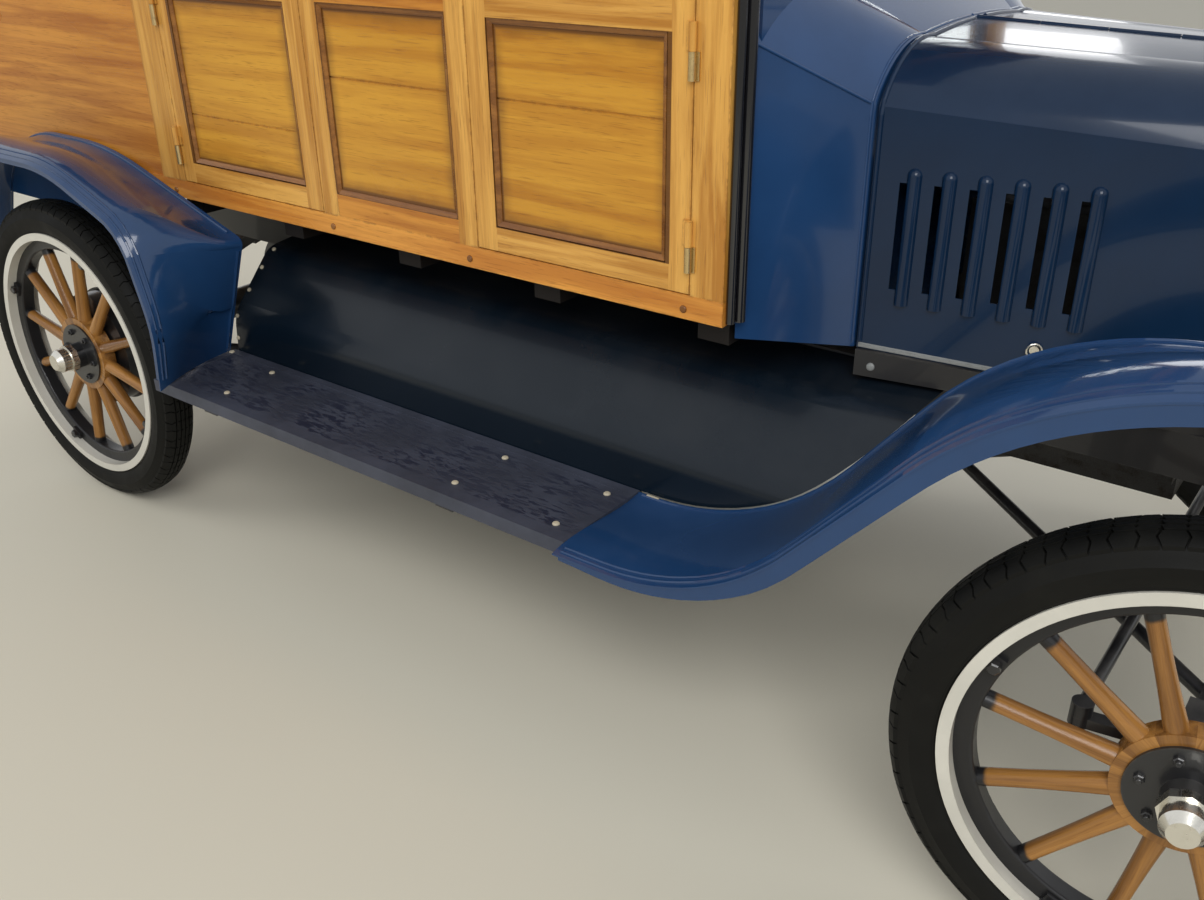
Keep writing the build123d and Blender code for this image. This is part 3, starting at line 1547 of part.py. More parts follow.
# Controls: steering column with its quadrant levers, three pedals and the hand brake
column_length = (column_top - column_foot).length
with BuildPart() as controls:
    with Locations(column_plane):
        Cylinder(
            column_radius,
            column_length - steering_grip_radius - seat_gap,
            align=(Align.CENTER, Align.CENTER, Align.MIN),
        )
    with Locations(column_plane.offset(column_length - 60)):
        with Locations((0, -70, 0), (0, 70, 0)):
            Box(8, 130, 6)
    with Locations((column_foot.X, column_offset + 8, frame_top)):
        Box(60, 28, 36, align=(Align.CENTER, Align.CENTER, Align.MIN))
    toe_slope = toe_rise / (toe_front_x - toe_rear_x)
    pedal_foot_x = front_door_front + 20
    pedal_foot_z = floor_top + toe_slope * (pedal_foot_x - toe_rear_x) + seat_gap
    for pedal_y in (60, 130, 200):
        with BuildSketch(Plane.XZ.offset(-pedal_y)):
            with BuildLine():
                Polyline(
                    (pedal_foot_x, pedal_foot_z),
                    (pedal_foot_x - 80, pedal_foot_z + 100),
                    (pedal_foot_x - 70, pedal_foot_z + 108),
                    (pedal_foot_x + 14, pedal_foot_z + 14 * toe_slope),
                    close=True,
                )
            make_face()
        extrude(amount=14, both=True)
    with Locations((front_door_front - 180, body_half_width - post_depth - 60, floor_top)):
        Box(12, 10, 420, align=(Align.CENTER, Align.CENTER, Align.MIN))
        Box(60, 24, 12, align=(Align.CENTER, Align.CENTER, Align.MIN))
controls.part.label = "controls"
export_step(controls.part, "parts/controls.step")
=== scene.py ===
"""Looks of a wood-bodied open wagon of the 1920s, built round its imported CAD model.

Metres, in the CAD model's own frame: +X forward, +Y to the car's left, +Z up.
"""

import json
import logging
import math
from dataclasses import dataclass
from enum import Enum
from typing import Callable, Iterable, Sequence

import bmesh
import bpy
from bpy.types import Material, Node, NodeSocket, NodeTree, Object
from mathutils import Matrix, Vector
from mathutils.bvhtree import BVHTree


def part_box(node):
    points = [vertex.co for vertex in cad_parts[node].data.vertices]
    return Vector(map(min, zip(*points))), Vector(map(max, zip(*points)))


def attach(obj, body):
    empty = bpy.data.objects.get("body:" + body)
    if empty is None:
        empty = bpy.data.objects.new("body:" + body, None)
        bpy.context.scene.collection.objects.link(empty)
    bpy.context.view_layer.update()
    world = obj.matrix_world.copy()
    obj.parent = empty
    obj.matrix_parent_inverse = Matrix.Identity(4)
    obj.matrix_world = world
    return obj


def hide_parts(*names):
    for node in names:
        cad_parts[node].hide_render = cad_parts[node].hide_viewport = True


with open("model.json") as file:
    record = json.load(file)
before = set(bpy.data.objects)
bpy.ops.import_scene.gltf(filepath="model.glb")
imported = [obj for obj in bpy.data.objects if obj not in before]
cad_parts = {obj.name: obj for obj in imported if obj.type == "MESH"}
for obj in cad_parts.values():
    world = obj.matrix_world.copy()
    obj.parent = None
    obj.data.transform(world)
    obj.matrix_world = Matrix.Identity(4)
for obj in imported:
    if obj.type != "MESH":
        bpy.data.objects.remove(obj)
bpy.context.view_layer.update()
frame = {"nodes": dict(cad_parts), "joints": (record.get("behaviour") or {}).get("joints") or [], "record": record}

BMesh, BMVert, BMFace = bmesh.types.BMesh, bmesh.types.BMVert, bmesh.types.BMFace
Point = Sequence[float]
Pair = tuple[Vector, Vector]
Limits = tuple[float, float]
Colour = tuple[float, float, float]
DUST: Colour = (0.3, 0.28, 0.25)
HONEY: Colour = (0.78, 0.42, 0.095)
HONEY_DARK: Colour = (0.46, 0.195, 0.03)
AMBER: Colour = (0.66, 0.28, 0.042)
AMBER_DARK: Colour = (0.4, 0.13, 0.016)
FINISHES: dict[str, Material] = {}
log = logging.getLogger("wagon")


class Grain(Enum):
    """The way a timber's grain runs, and the turn that lays it along X."""

    ALONG = (0, 0, 0)
    ACROSS = (0, 0, math.pi / 2)
    UPRIGHT = (0, math.pi / 2, 0)


class Graph:
    """Short calls for building one node tree."""

    def __init__(self, tree: NodeTree) -> None:
        """Keeps the tree that the calls build in."""
        self.tree = tree

    def feed(self, socket: NodeSocket, value: object) -> None:
        """Links a socket to another socket, or sets its plain value."""
        if isinstance(value, NodeSocket):
            self.tree.links.new(value, socket)
        elif isinstance(value, tuple) and socket.type == "RGBA" and len(value) == 3:
            socket.default_value = (*value, 1)
        else:
            socket.default_value = value

    def node(self, kind: str, inputs: dict | None = None, **settings: object) -> Node:
        """Adds a node.

        Args:
            kind: the node's type without its ShaderNode prefix.
            inputs: values or sockets for the inputs, by name or number.
            settings: the node's own options.

        Returns:
            The new node.
        """
        made = self.tree.nodes.new("ShaderNode" + kind)
        for name, value in settings.items():
            setattr(made, name, value)
        for name, value in (inputs or {}).items():
            self.feed(made.inputs[name], value)
        return made

    def math(self, operation: str, *values: object, clamp: bool = False) -> NodeSocket:
        """Adds a Math node and returns its result."""
        return self.node("Math", dict(enumerate(values)), operation=operation, use_clamp=clamp).outputs[0]

    def ramp(self, value: object, low: float, high: float, start: float = 0, end: float = 1) -> NodeSocket:
        """Maps a value between two limits smoothly and returns the result."""
        limits = {"Value": value, "From Min": low, "From Max": high, "To Min": start, "To Max": end}
        return self.node("MapRange", limits, interpolation_type="SMOOTHSTEP").outputs[0]

    def mix(self, factor: object, first: object, second: object, blend: str = "MIX") -> NodeSocket:
        """Mixes two colours and returns the result."""
        sockets = {0: factor, 6: first, 7: second}
        return self.node("Mix", sockets, data_type="RGBA", blend_type=blend).outputs[2]

    def pick(self, factor: object, first: object, second: object) -> NodeSocket:
        """Takes the first of two vectors where a factor is 0, and the second where it is 1."""
        return self.node("Mix", {0: factor, 4: first, 5: second}, data_type="VECTOR").outputs[1]

    def noise(
        self, vector: object, scale: float, detail: float = 3, rough: float = 0.5, bend: float = 0
    ) -> NodeSocket:
        """Adds a noise texture and returns its value."""
        looks = {"Vector": vector, "Scale": scale, "Detail": detail, "Roughness": rough, "Distortion": bend}
        return self.node("TexNoise", looks).outputs[0]

    def scaled(self, vector: object, factors: Point, turn: Point = (0, 0, 0)) -> NodeSocket:
        """Turns and stretches a vector with a Mapping node."""
        moves = {"Vector": vector, "Scale": Vector(factors), "Rotation": Vector(turn)}
        return self.node("Mapping", moves, vector_type="POINT").outputs[0]

    def parts(self, vector: object) -> Sequence[NodeSocket]:
        """Splits a vector in its three numbers."""
        return self.node("SeparateXYZ", {0: vector}).outputs

    def upward(self) -> NodeSocket:
        """How far a face looks up, from -1 to 1."""
        return self.parts(self.node("NewGeometry").outputs["Normal"])[2]


class Effects:
    """The shader node groups that several finishes share."""

    def __init__(self) -> None:
        """Builds each group once."""
        self.grain = self._group(
            "wood_grain", "Vector:Vector Light:Color Dark:Color Streaks:Float",
            "Color:Color Roughness:Float Height:Float", self._grain,
        )
        self.wear = self._group("edge_wear", "Vector:Vector Width:Float Amount:Float", "Mask:Float", self._wear)
        self.dust = self._group(
            "settled_dust", "Vector:Vector Amount:Float", "Mask:Float Patches:Float", self._dust
        )
        self.hide = self._group(
            "pebbled_hide", "Vector:Vector Size:Float", "Height:Float Patches:Float", self._hide
        )

    def _group(self, name: str, takes: str, gives: str, fill: Callable[[Graph, dict], dict]) -> NodeTree:
        """Makes a node group.

        Args:
            name: the group's name.
            takes: its inputs, each as name:type.
            gives: its outputs, likewise.
            fill: builds the nodes and returns a value for each output.

        Returns:
            The group.
        """
        tree = bpy.data.node_groups.new(name, "ShaderNodeTree")
        for rows, way in ((takes, "INPUT"), (gives, "OUTPUT")):
            for row in rows.split():
                socket, kind = row.split(":")
                tree.interface.new_socket(socket, in_out=way, socket_type="NodeSocket" + kind)
        graph = Graph(tree)
        entry, leave = tree.nodes.new("NodeGroupInput"), tree.nodes.new("NodeGroupOutput")
        for socket, value in fill(graph, {o.name: o for o in entry.outputs if o.name}).items():
            graph.feed(leave.inputs[socket], value)
        return tree

    def _grain(self, g: Graph, taken: dict) -> dict:
        """Streaks along X with fine pores and broad shade changes."""
        vector = taken["Vector"]
        waver = g.math("MULTIPLY", g.noise(g.scaled(vector, (1.3, 5, 5)), 1, 2), 0.05)
        bent = g.node("VectorMath", {0: vector, 1: g.node("CombineXYZ", {"Y": waver}).outputs[0]}).outputs[0]
        streak = g.noise(g.scaled(bent, (1.6, 38, 38)), 1, 5, 0.62, 0.4)
        pores = g.noise(g.scaled(bent, (14, 420, 420)), 1, 2, 0.6)
        broad = g.noise(g.scaled(vector, (1.1, 4, 4)), 1, 2)
        tone = g.math("SUBTRACT", g.ramp(streak, 0.34, 0.66), 0.5)
        tone = g.math("MULTIPLY_ADD", tone, taken["Streaks"], 0.5)
        tone = g.math("ADD", tone, g.ramp(broad, 0.3, 0.7, -0.18, 0.18), clamp=True)
        colour = g.mix(tone, taken["Dark"], taken["Light"])
        pore = g.ramp(pores, 0.3, 0.44, 0.45, 0)
        return {
            "Color": g.mix(pore, colour, g.mix(1, colour, (0.45, 0.36, 0.3), "MULTIPLY")),
            "Roughness": g.math("MULTIPLY_ADD", pore, 0.3, g.ramp(broad, 0.3, 0.7, 0.2, 0.34)),
            "Height": g.math("MULTIPLY_ADD", pore, -1.0, streak),
        }

    def _wear(self, g: Graph, taken: dict) -> dict:
        """A mask that is bright along sharp edges, broken up by noise."""
        rounded = g.node("Bevel", {"Radius": taken["Width"]}, samples=4).outputs[0]
        true = g.node("NewGeometry").outputs["Normal"]
        same = g.node("VectorMath", {0: rounded, 1: true}, operation="DOT_PRODUCT").outputs["Value"]
        broken = g.ramp(g.noise(taken["Vector"], 60, 4, 0.65), 0.42, 0.62)
        edge = g.math("MULTIPLY", g.ramp(same, 0.86, 0.995, 1, 0), broken)
        return {"Mask": g.math("MULTIPLY", edge, taken["Amount"], clamp=True)}

    def _dust(self, g: Graph, taken: dict) -> dict:
        """Dust on faces that look up, in soft patches."""
        patches = g.noise(taken["Vector"], 7, 5, 0.6)
        mask = g.math("MULTIPLY", g.ramp(g.upward(), 0.25, 1), g.ramp(patches, 0.35, 0.75))
        return {"Mask": g.math("MULTIPLY", mask, taken["Amount"], clamp=True), "Patches": patches}

    def _hide(self, g: Graph, taken: dict) -> dict:
        """Rounded pebbles as on leather and leathercloth."""
        sockets = {"Vector": taken["Vector"], "Scale": taken["Size"]}
        cell = g.node("TexVoronoi", sockets, feature="SMOOTH_F1").outputs["Distance"]
        patches = g.noise(taken["Vector"], 9, 4, 0.6)
        return {"Height": g.math("MULTIPLY_ADD", cell, -1.0, 1), "Patches": patches}


EFFECTS = Effects()


class Coat:
    """A material under construction: its graph, its shader and its object coordinates."""

    def __init__(self, name: str, **constants: object) -> None:
        """Makes the material and sets the shader's plain values.

        Args:
            name: the material's name.
            constants: shader inputs, with underscores for spaces.
        """
        self.material = bpy.data.materials.new(name)
        self.material.use_nodes = True
        self.material.node_tree.nodes.clear()
        self.graph = Graph(self.material.node_tree)
        self.shader = self.graph.node("BsdfPrincipled")
        self.graph.node("OutputMaterial", {0: self.shader.outputs[0]})
        self.place = self.graph.node("TexCoord").outputs["Object"]
        self.dress(**constants)

    def effect(self, tree: NodeTree, **inputs: object) -> dict[str, NodeSocket]:
        """Places a shared group and returns its outputs by name."""
        made = self.graph.node("Group", {"Vector": self.place, **inputs}, node_tree=tree)
        return {o.name: o for o in made.outputs}

    def dress(self, **inputs: object) -> None:
        """Feeds the shader's inputs, with underscores for spaces."""
        for key, value in inputs.items():
            self.graph.feed(self.shader.inputs[key.replace("_", " ")], value)

    def bump(self, height: object, strength: float, distance: float) -> None:
        """Feeds a height to the shader's normal."""
        made = self.graph.node("Bump", {"Height": height, "Strength": strength, "Distance": distance})
        self.dress(Normal=made.outputs[0])


@dataclass(frozen=True)
class Finish:
    """What all finishes have: a name, and a material to make."""

    name: str

    def shades(self, colour: Colour, *factors: float) -> list[Colour]:
        """The colour made darker or lighter by each factor."""
        return [tuple(min(1, factor * c) for c in colour) for factor in factors]


@dataclass(frozen=True)
class Enamel(Finish):
    """Brushed or sprayed enamel over steel."""

    colour: Colour
    worn: Colour
    roughness: float = 0.16
    coat: float = 0.5
    dust: float = 0.1
    wear: float = 0.25
    ripple: float = 0.05
    gloss: float = 0.5
    mottle: float = 0.07

    def make(self) -> Material:
        """Builds the material: colour, edge wear, dust and a faint ripple."""
        coat = Coat(
            self.name, Coat_Weight=self.coat, Coat_Roughness=0.05, IOR=1.45, Specular_IOR_Level=self.gloss
        )
        g = coat.graph
        dust = coat.effect(EFFECTS.dust, Amount=self.dust)
        wear = coat.effect(EFFECTS.wear, Width=0.004, Amount=self.wear)["Mask"]
        less, more = 1 - self.mottle, 1 + self.mottle
        shade = g.mix(g.ramp(dust["Patches"], 0.3, 0.7), *self.shades(self.colour, less, more))
        rough = g.ramp(dust["Patches"], 0.3, 0.7, self.roughness * less, self.roughness * more)
        coat.dress(
            Base_Color=g.mix(dust["Mask"], g.mix(wear, shade, self.worn), DUST),
            Roughness=g.math("MULTIPLY_ADD", dust["Mask"], 0.4, rough),
        )
        coat.bump(g.noise(coat.place, 46, 2), self.ripple, 0.002)
        return coat.material


@dataclass(frozen=True)
class Metal(Finish):
    """Bare or plated metal with light scuffs."""

    colour: Colour
    roughness: float = 0.25
    tarnish: Colour = (0.2, 0.17, 0.13)
    age: float = 0.3

    def make(self) -> Material:
        """Builds the material: metal with tarnish in patches."""
        coat = Coat(self.name, Metallic=1.0)
        g = coat.graph
        fine = g.noise(coat.place, 400, 3, 0.7)
        mask = g.math("MULTIPLY", g.ramp(g.noise(coat.place, 30, 6, 0.65), 0.45, 0.72), self.age)
        rough = g.ramp(fine, 0.3, 0.7, self.roughness * 0.8, self.roughness * 1.25)
        coat.dress(
            Base_Color=g.mix(mask, self.colour, self.tarnish),
            Roughness=g.math("ADD", rough, g.math("MULTIPLY", mask, 0.4)),
        )
        coat.bump(fine, 0.08, 0.0006)
        return coat.material


@dataclass(frozen=True)
class Timber(Finish):
    """Varnished or worn timber with its grain one way."""

    light: Colour
    dark: Colour
    grain: Grain = Grain.ALONG
    varnish: float = 0.16
    streaks: float = 0.85
    gloss: float = 0.3
    edge: Colour = (0.1, 0.035, 0.008)
    wear: float = 0.55

    def varnished(self, roughness: float) -> Coat:
        """Starts the material with its varnish."""
        return Coat(
            self.name, Coat_Weight=self.varnish, Coat_Roughness=roughness, Specular_IOR_Level=self.gloss
        )

    def lined_up(self, coat: Coat, grain: Grain) -> NodeSocket:
        """Turns the coordinates so that the grain runs along their X."""
        return coat.graph.scaled(coat.place, (1, 1, 1), grain.value)

    def grained(self, coat: Coat, vector: object, **other: object) -> dict[str, NodeSocket]:
        """The look of the grain along a vector's X, with other colours if given."""
        looks = {"Light": self.light, "Dark": self.dark, "Streaks": self.streaks, **other}
        return coat.effect(EFFECTS.grain, Vector=vector, **looks)

    def finish(self, coat: Coat, vector: object) -> Material:
        """Feeds grain and darkened edges to the shader and returns the material."""
        grain = self.grained(coat, vector)
        wear = coat.effect(EFFECTS.wear, Width=0.006, Amount=self.wear)["Mask"]
        coat.dress(Base_Color=coat.graph.mix(wear, grain["Color"], self.edge), Roughness=grain["Roughness"])
        coat.bump(grain["Height"], 0.12, 0.0008)
        return coat.material

    def make(self) -> Material:
        """Builds the material with one grain direction."""
        coat = self.varnished(0.12)
        return self.finish(coat, self.lined_up(coat, self.grain))


@dataclass(frozen=True)
class CrossTimber(Timber):
    """Timber along the car near its sides and across it between them."""

    side: float = 0.49

    def make(self) -> Material:
        """Builds the material with the grain chosen by the distance from the middle."""
        coat = self.varnished(0.12)
        g = coat.graph
        outer = g.math("GREATER_THAN", g.math("ABSOLUTE", g.parts(coat.place)[1]), self.side)
        across, along = self.lined_up(coat, Grain.ACROSS), self.lined_up(coat, Grain.ALONG)
        return self.finish(coat, g.pick(outer, across, along))


@dataclass(frozen=True)
class TailTimber(Timber):
    """Oak across the car behind a station, and near black painted shade ahead of it, where the bolsters lie under
    the body.
    """

    station: float = -1.75
    painted_underbody_shade: Colour = (0.009, 0.007, 0.006)

    def make(self) -> Material:
        """Builds the material, split at the station."""
        coat = Coat(self.name, Coat_Roughness=0.2, Specular_IOR_Level=0.25)
        g = coat.graph
        grain = self.grained(coat, self.lined_up(coat, Grain.ACROSS))
        # Ahead of the station the colour is painted shade under the body, not the timber's own.
        ahead = g.math("GREATER_THAN", g.parts(coat.place)[0], self.station)
        coat.dress(
            Base_Color=g.mix(ahead, grain["Color"], self.painted_underbody_shade),
            Roughness=g.math("MULTIPLY_ADD", ahead, 0.35, grain["Roughness"]),
        )
        coat.bump(grain["Height"], 0.12, 0.0008)
        return coat.material


@dataclass(frozen=True)
class FramedTimber(Timber):
    """A door or panel: upright stiles, level rails and a panel with painted shade at its rim, where it sinks below
    them.
    """

    centres: tuple[float, ...] = (0.0,)
    half: float = 0.18
    low: float = 0.874
    high: float = 1.222
    rail_half: float = 0.2
    across_y: bool = False
    panel_light: Colour = (0.68, 0.34, 0.036)
    panel_dark: Colour = (0.44, 0.172, 0.015)
    # rim and line: how far in the painted shade reaches, and where the painted shadow line lies along the panel's
    # rim.
    rim: float = 0.04
    line: float = 0.0155

    def make(self) -> Material:
        """Builds the material: masks for rails and panel from the piece's own place."""
        coat = self.varnished(0.1)
        g = coat.graph
        x, y, height = g.parts(coat.place)
        gaps = [g.math("ABSOLUTE", g.math("SUBTRACT", y if self.across_y else x, c)) for c in self.centres]
        off = gaps[0] if len(gaps) == 1 else g.math("MINIMUM", *gaps)
        inside = g.math("SUBTRACT", self.half, off)
        for near, far in ((height, self.low), (self.high, height)):
            inside = g.math("MINIMUM", inside, g.math("SUBTRACT", near, far))
        level = self.lined_up(coat, Grain.ACROSS if self.across_y else Grain.ALONG)
        rail = g.math("LESS_THAN", off, self.rail_half)
        vector = g.pick(rail, self.lined_up(coat, Grain.UPRIGHT), level)
        wood = self.grained(coat, vector)
        board = self.grained(coat, vector, Light=self.panel_light, Dark=self.panel_dark, Streaks=0.6)["Color"]
        wear = coat.effect(EFFECTS.wear, Width=0.005, Amount=self.wear)["Mask"]
        ragged = g.math("MULTIPLY_ADD", g.noise(coat.place, 18, 3), 0.03, -0.015)
        # Painted shade: the panel darkens in the timber's edge colour towards its rim, with a painted shadow line
        # just inside it.
        painted_rim_shade = g.ramp(g.math("ADD", inside, ragged), 0.0, self.rim, 0.6, 0)
        line = g.ramp(inside, self.line - 0.004, self.line + 0.004, 0.9, 0)
        board = g.mix(g.math("MAXIMUM", painted_rim_shade, line), board, self.edge)
        panel = g.math("GREATER_THAN", inside, -0.001)
        coat.dress(
            Base_Color=g.mix(wear, g.mix(panel, wood["Color"], board), self.edge),
            Roughness=wood["Roughness"],
        )
        coat.bump(wood["Height"], 0.1, 0.0007)
        return coat.material


@dataclass(frozen=True)
class SpokeTimber(Timber):
    """A wheel's timber: grain along each spoke, and a black band at the felloe."""

    centre: Colour = (0, 0, 0)
    turn: float = 0.0
    rest: float = 0.0
    spokes: int = 12
    felloe: float = 0.2555
    paint: Colour = (0.012, 0.012, 0.013)

    def make(self) -> Material:
        """Builds the material from the distance and angle about the axle."""
        coat = self.varnished(0.15)
        g = coat.graph
        hub = {"Vector": coat.place, "Location": Vector(self.centre), "Rotation": Vector((0, 0, self.turn))}
        x, y, z = g.parts(g.node("Mapping", hub, vector_type="TEXTURE").outputs[0])
        reach = g.math("SQRT", g.math("ADD", g.math("MULTIPLY", x, x), g.math("MULTIPLY", z, z)))
        angle = g.math("SUBTRACT", g.math("ARCTAN2", z, x), self.rest)
        steps = g.math("MULTIPLY_ADD", angle, self.spokes / math.tau, 0.5)
        spoke = g.math("FLOOR", steps)
        off = g.math("SUBTRACT", g.math("SUBTRACT", steps, spoke), 0.5)
        off = g.math("MULTIPLY", g.math("MULTIPLY", off, math.tau / self.spokes), reach)
        vector = g.node("CombineXYZ", {"X": g.math("MULTIPLY_ADD", spoke, 3.7, reach), "Y": off, "Z": y})
        grain = self.grained(coat, vector.outputs[0])
        ragged = g.math("MULTIPLY_ADD", g.noise(coat.place, 40, 3), 0.01, reach)
        painted = g.ramp(ragged, self.felloe - 0.004, self.felloe + 0.004)
        coat.dress(
            Base_Color=g.mix(painted, grain["Color"], self.paint),
            Roughness=g.math("MULTIPLY_ADD", painted, 0.12, grain["Roughness"]),
        )
        coat.bump(grain["Height"], 0.1, 0.0006)
        return coat.material


@dataclass(frozen=True)
class Rubber(Finish):
    """Black rubber, greyed on the walls."""

    colour: Colour = (0.0035, 0.0035, 0.003)
    bloom: Colour = (0.0085, 0.0083, 0.0068)

    def make(self) -> Material:
        """Builds the material: soft patches of bloom and a fine tooth."""
        coat = Coat(self.name, Specular_IOR_Level=0.16)
        g = coat.graph
        patches = g.noise(coat.place, 11, 6, 0.62)
        coat.dress(
            Base_Color=g.mix(g.ramp(patches, 0.4, 0.75), self.colour, self.bloom),
            Roughness=g.ramp(patches, 0.3, 0.7, 0.5, 0.72),
        )
        coat.bump(g.noise(coat.place, 260, 3, 0.6), 0.2, 0.0006)
        return coat.material


@dataclass(frozen=True)
class Hide(Finish):
    """Leather or leathercloth with a pebbled face."""

    colour: Colour
    size: float
    roughness: float = 0.42
    relief: float = 0.3
    patch: float = 1.9

    def make(self) -> Material:
        """Builds the material: pebbles, worn patches and a soft sheen."""
        coat = Coat(self.name, Coat_Weight=0.15, Coat_Roughness=0.35)
        g = coat.graph
        hide = coat.effect(EFFECTS.hide, Size=self.size)
        dust = coat.effect(EFFECTS.dust, Amount=0.06 * self.patch)["Mask"]
        shade = g.mix(g.ramp(hide["Patches"], 0.35, 0.7), self.colour, *self.shades(self.colour, self.patch))
        smooth = self.roughness * (1.1 - 0.13 * self.patch)
        rough = self.roughness * (0.9 + 0.18 * self.patch)
        coat.dress(
            Base_Color=g.mix(dust, shade, DUST),
            Roughness=g.ramp(hide["Patches"], 0.3, 0.7, smooth, rough),
        )
        coat.bump(hide["Height"], self.relief, 0.0008)
        return coat.material


@dataclass(frozen=True)
class TreadPaint(Finish):
    """Dull board paint pressed with a broken tread pattern inside a plain strip."""

    colour: Colour = (0.046, 0.052, 0.074)
    pressed: Colour = (0.02, 0.023, 0.042)
    middle: float = 0.67
    half: float = 0.082

    def make(self) -> Material:
        """Builds the material: short pressed dashes along the board, dark in their hollows."""
        coat = Coat(self.name, Coat_Weight=0.08, Coat_Roughness=0.3, Specular_IOR_Level=0.35)
        g = coat.graph
        dashes = g.noise(g.scaled(coat.place, (30, 120, 20)), 1, 3, 0.6, 0.5)
        patches = g.noise(coat.place, 7, 5, 0.65)
        off = g.math("ABSOLUTE", g.math("SUBTRACT", g.math("ABSOLUTE", g.parts(coat.place)[1]), self.middle))
        field = g.ramp(off, self.half - 0.006, self.half, 1, 0)
        field = g.math("MULTIPLY", field, g.ramp(g.upward(), 0.6, 0.95))
        hollow = g.math("MULTIPLY", g.ramp(dashes, 0.47, 0.56), field)
        mask = g.math("MULTIPLY", hollow, g.ramp(patches, 0.36, 0.62, 0.25, 1))
        shade = g.mix(g.ramp(patches, 0.3, 0.7), *self.shades(self.colour, 0.75, 1.25))
        coat.dress(
            Base_Color=g.mix(mask, shade, self.pressed),
            Roughness=g.math("MULTIPLY_ADD", mask, -0.15, 0.5),
        )
        coat.bump(hollow, 0.3, -0.0012)
        return coat.material


@dataclass(frozen=True)
class ClearGlass(Finish):
    """Flat or fluted clear glass."""

    tint: Colour = (0.93, 0.97, 0.96)
    flutes: float = 0.0

    def make(self) -> Material:
        """Builds the material, with upright flutes where it has any."""
        coat = Coat(self.name, Transmission_Weight=1.0, IOR=1.5, Metallic=0.0)
        g = coat.graph
        smears = g.noise(coat.place, 12, 4, 0.6)
        coat.dress(
            Base_Color=g.mix(g.ramp(smears, 0.5, 0.8), self.tint, *self.shades(self.tint, 0.93)),
            Roughness=g.ramp(smears, 0.5, 0.8, 0.01, 0.05),
        )
        if self.flutes:
            wave = {"Vector": coat.place, "Scale": self.flutes, "Distortion": 0.0}
            coat.bump(g.node("TexWave", wave, wave_type="BANDS", bands_direction="Y").outputs[1], 0.6, 0.002)
        return coat.material


def linked(name: str, data: object) -> Object:
    """Makes an object of some data and links it to the scene."""
    made = bpy.data.objects.new(name, data)
    bpy.context.scene.collection.objects.link(made)
    return made


def as_mesh(work: BMesh, name: str) -> bpy.types.Mesh:
    """Turns mesh work into a mesh and frees it."""
    mesh = bpy.data.meshes.new(name)
    work.to_mesh(mesh)
    work.free()
    return mesh


class Piece:
    """Mesh work that becomes a piece of the car when its with block ends."""

    def __init__(
        self, name: str, finish: str, body: str = "root", slot: str = "", smooth: float = 40
    ) -> None:
        """Notes what the piece will be.

        Args:
            name: the piece's name.
            finish: its finish.
            body: the CAD body it rides on.
            slot: the record's material slot, where that isn't the finish's name; not used.
            smooth: edges sharper than this angle in degrees stay hard.
        """
        self.name, self.finish, self.body = name, finish, body
        self.slot, self.smooth = slot or finish, smooth

    def __enter__(self) -> BMesh:
        """Starts the mesh work."""
        self.work = bmesh.new()
        return self.work

    def __exit__(self, failed: object, *_: object) -> None:
        """Makes the piece, unless the work on it failed."""
        if failed:
            return
        bmesh.ops.remove_doubles(self.work, verts=self.work.verts, dist=1e-6)
        mesh = as_mesh(self.work, self.name)
        mesh.materials.append(FINISHES[self.finish])
        made, body, slot = linked(self.name, mesh), self.body, self.slot
        mesh.shade_smooth()
        mesh.set_sharp_from_angle(angle=math.radians(self.smooth))
        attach(made, body)
        log.info("%s: %d faces on %s", self.name, len(mesh.polygons), body)
        self.made = made


def facing(point: Point, outward: Point) -> Matrix:
    """A matrix at a point whose Z points outward."""
    return Matrix.Translation(Vector(point)) @ Vector(outward).to_track_quat("Z", "Y").to_matrix().to_4x4()


def framed_by(x: Point, y: Point, z: Point) -> Matrix:
    """The matrix whose axes are three vectors."""
    return Matrix((x, y, z)).transposed().to_4x4()


def edges_of(verts: Iterable[BMVert]) -> list:
    """The edges that meet the vertices, each once."""
    return list({edge for vert in verts for edge in vert.link_edges})


def moved(step: Sequence) -> list[BMVert]:
    """The vertices among what an extrusion made."""
    return [part for part in step if isinstance(part, BMVert)]


def bevelled(work: BMesh, edges: Sequence, offset: float, segments: int) -> None:
    """Rounds edges off."""
    bmesh.ops.bevel(
        work, geom=edges, offset=offset, segments=segments, affect="EDGES", profile=0.5, material=-1
    )


def add_disc(work: BMesh, place: Matrix, radii: Limits, foot: float, top: float, sides: int) -> list[BMVert]:
    """Adds a closed cone or cylinder.

    Args:
        work: the mesh work.
        place: where its local origin and Z lie.
        radii: its radii at the foot and at the top.
        foot: where it starts on Z.
        top: where it ends on Z.
        sides: how many sides it has.

    Returns:
        Its vertices.
    """
    middle = place @ Matrix.Translation((0, 0, (foot + top) / 2))
    size = {"radius1": radii[0], "radius2": radii[1], "depth": top - foot, "segments": sides}
    return bmesh.ops.create_cone(work, cap_ends=True, cap_tris=False, matrix=middle, **size)["verts"]


def add_bolt(
    work: BMesh, place: Matrix, radius: float, height: float, sides: int = 6, dome: bool = False
) -> None:
    """Adds a bolt head with a bevelled rim; a domed one has more, softer steps."""
    verts = add_disc(work, place, (radius, radius), -0.001, height, sides)
    top = place @ Vector((0, 0, height))
    rim = [e for e in edges_of(verts) if all((v.co - top).length < radius * 1.02 for v in e.verts)]
    bevelled(work, rim, min(height * 0.8, radius * (0.6 if dome else 0.18)), 3 if dome else 1)


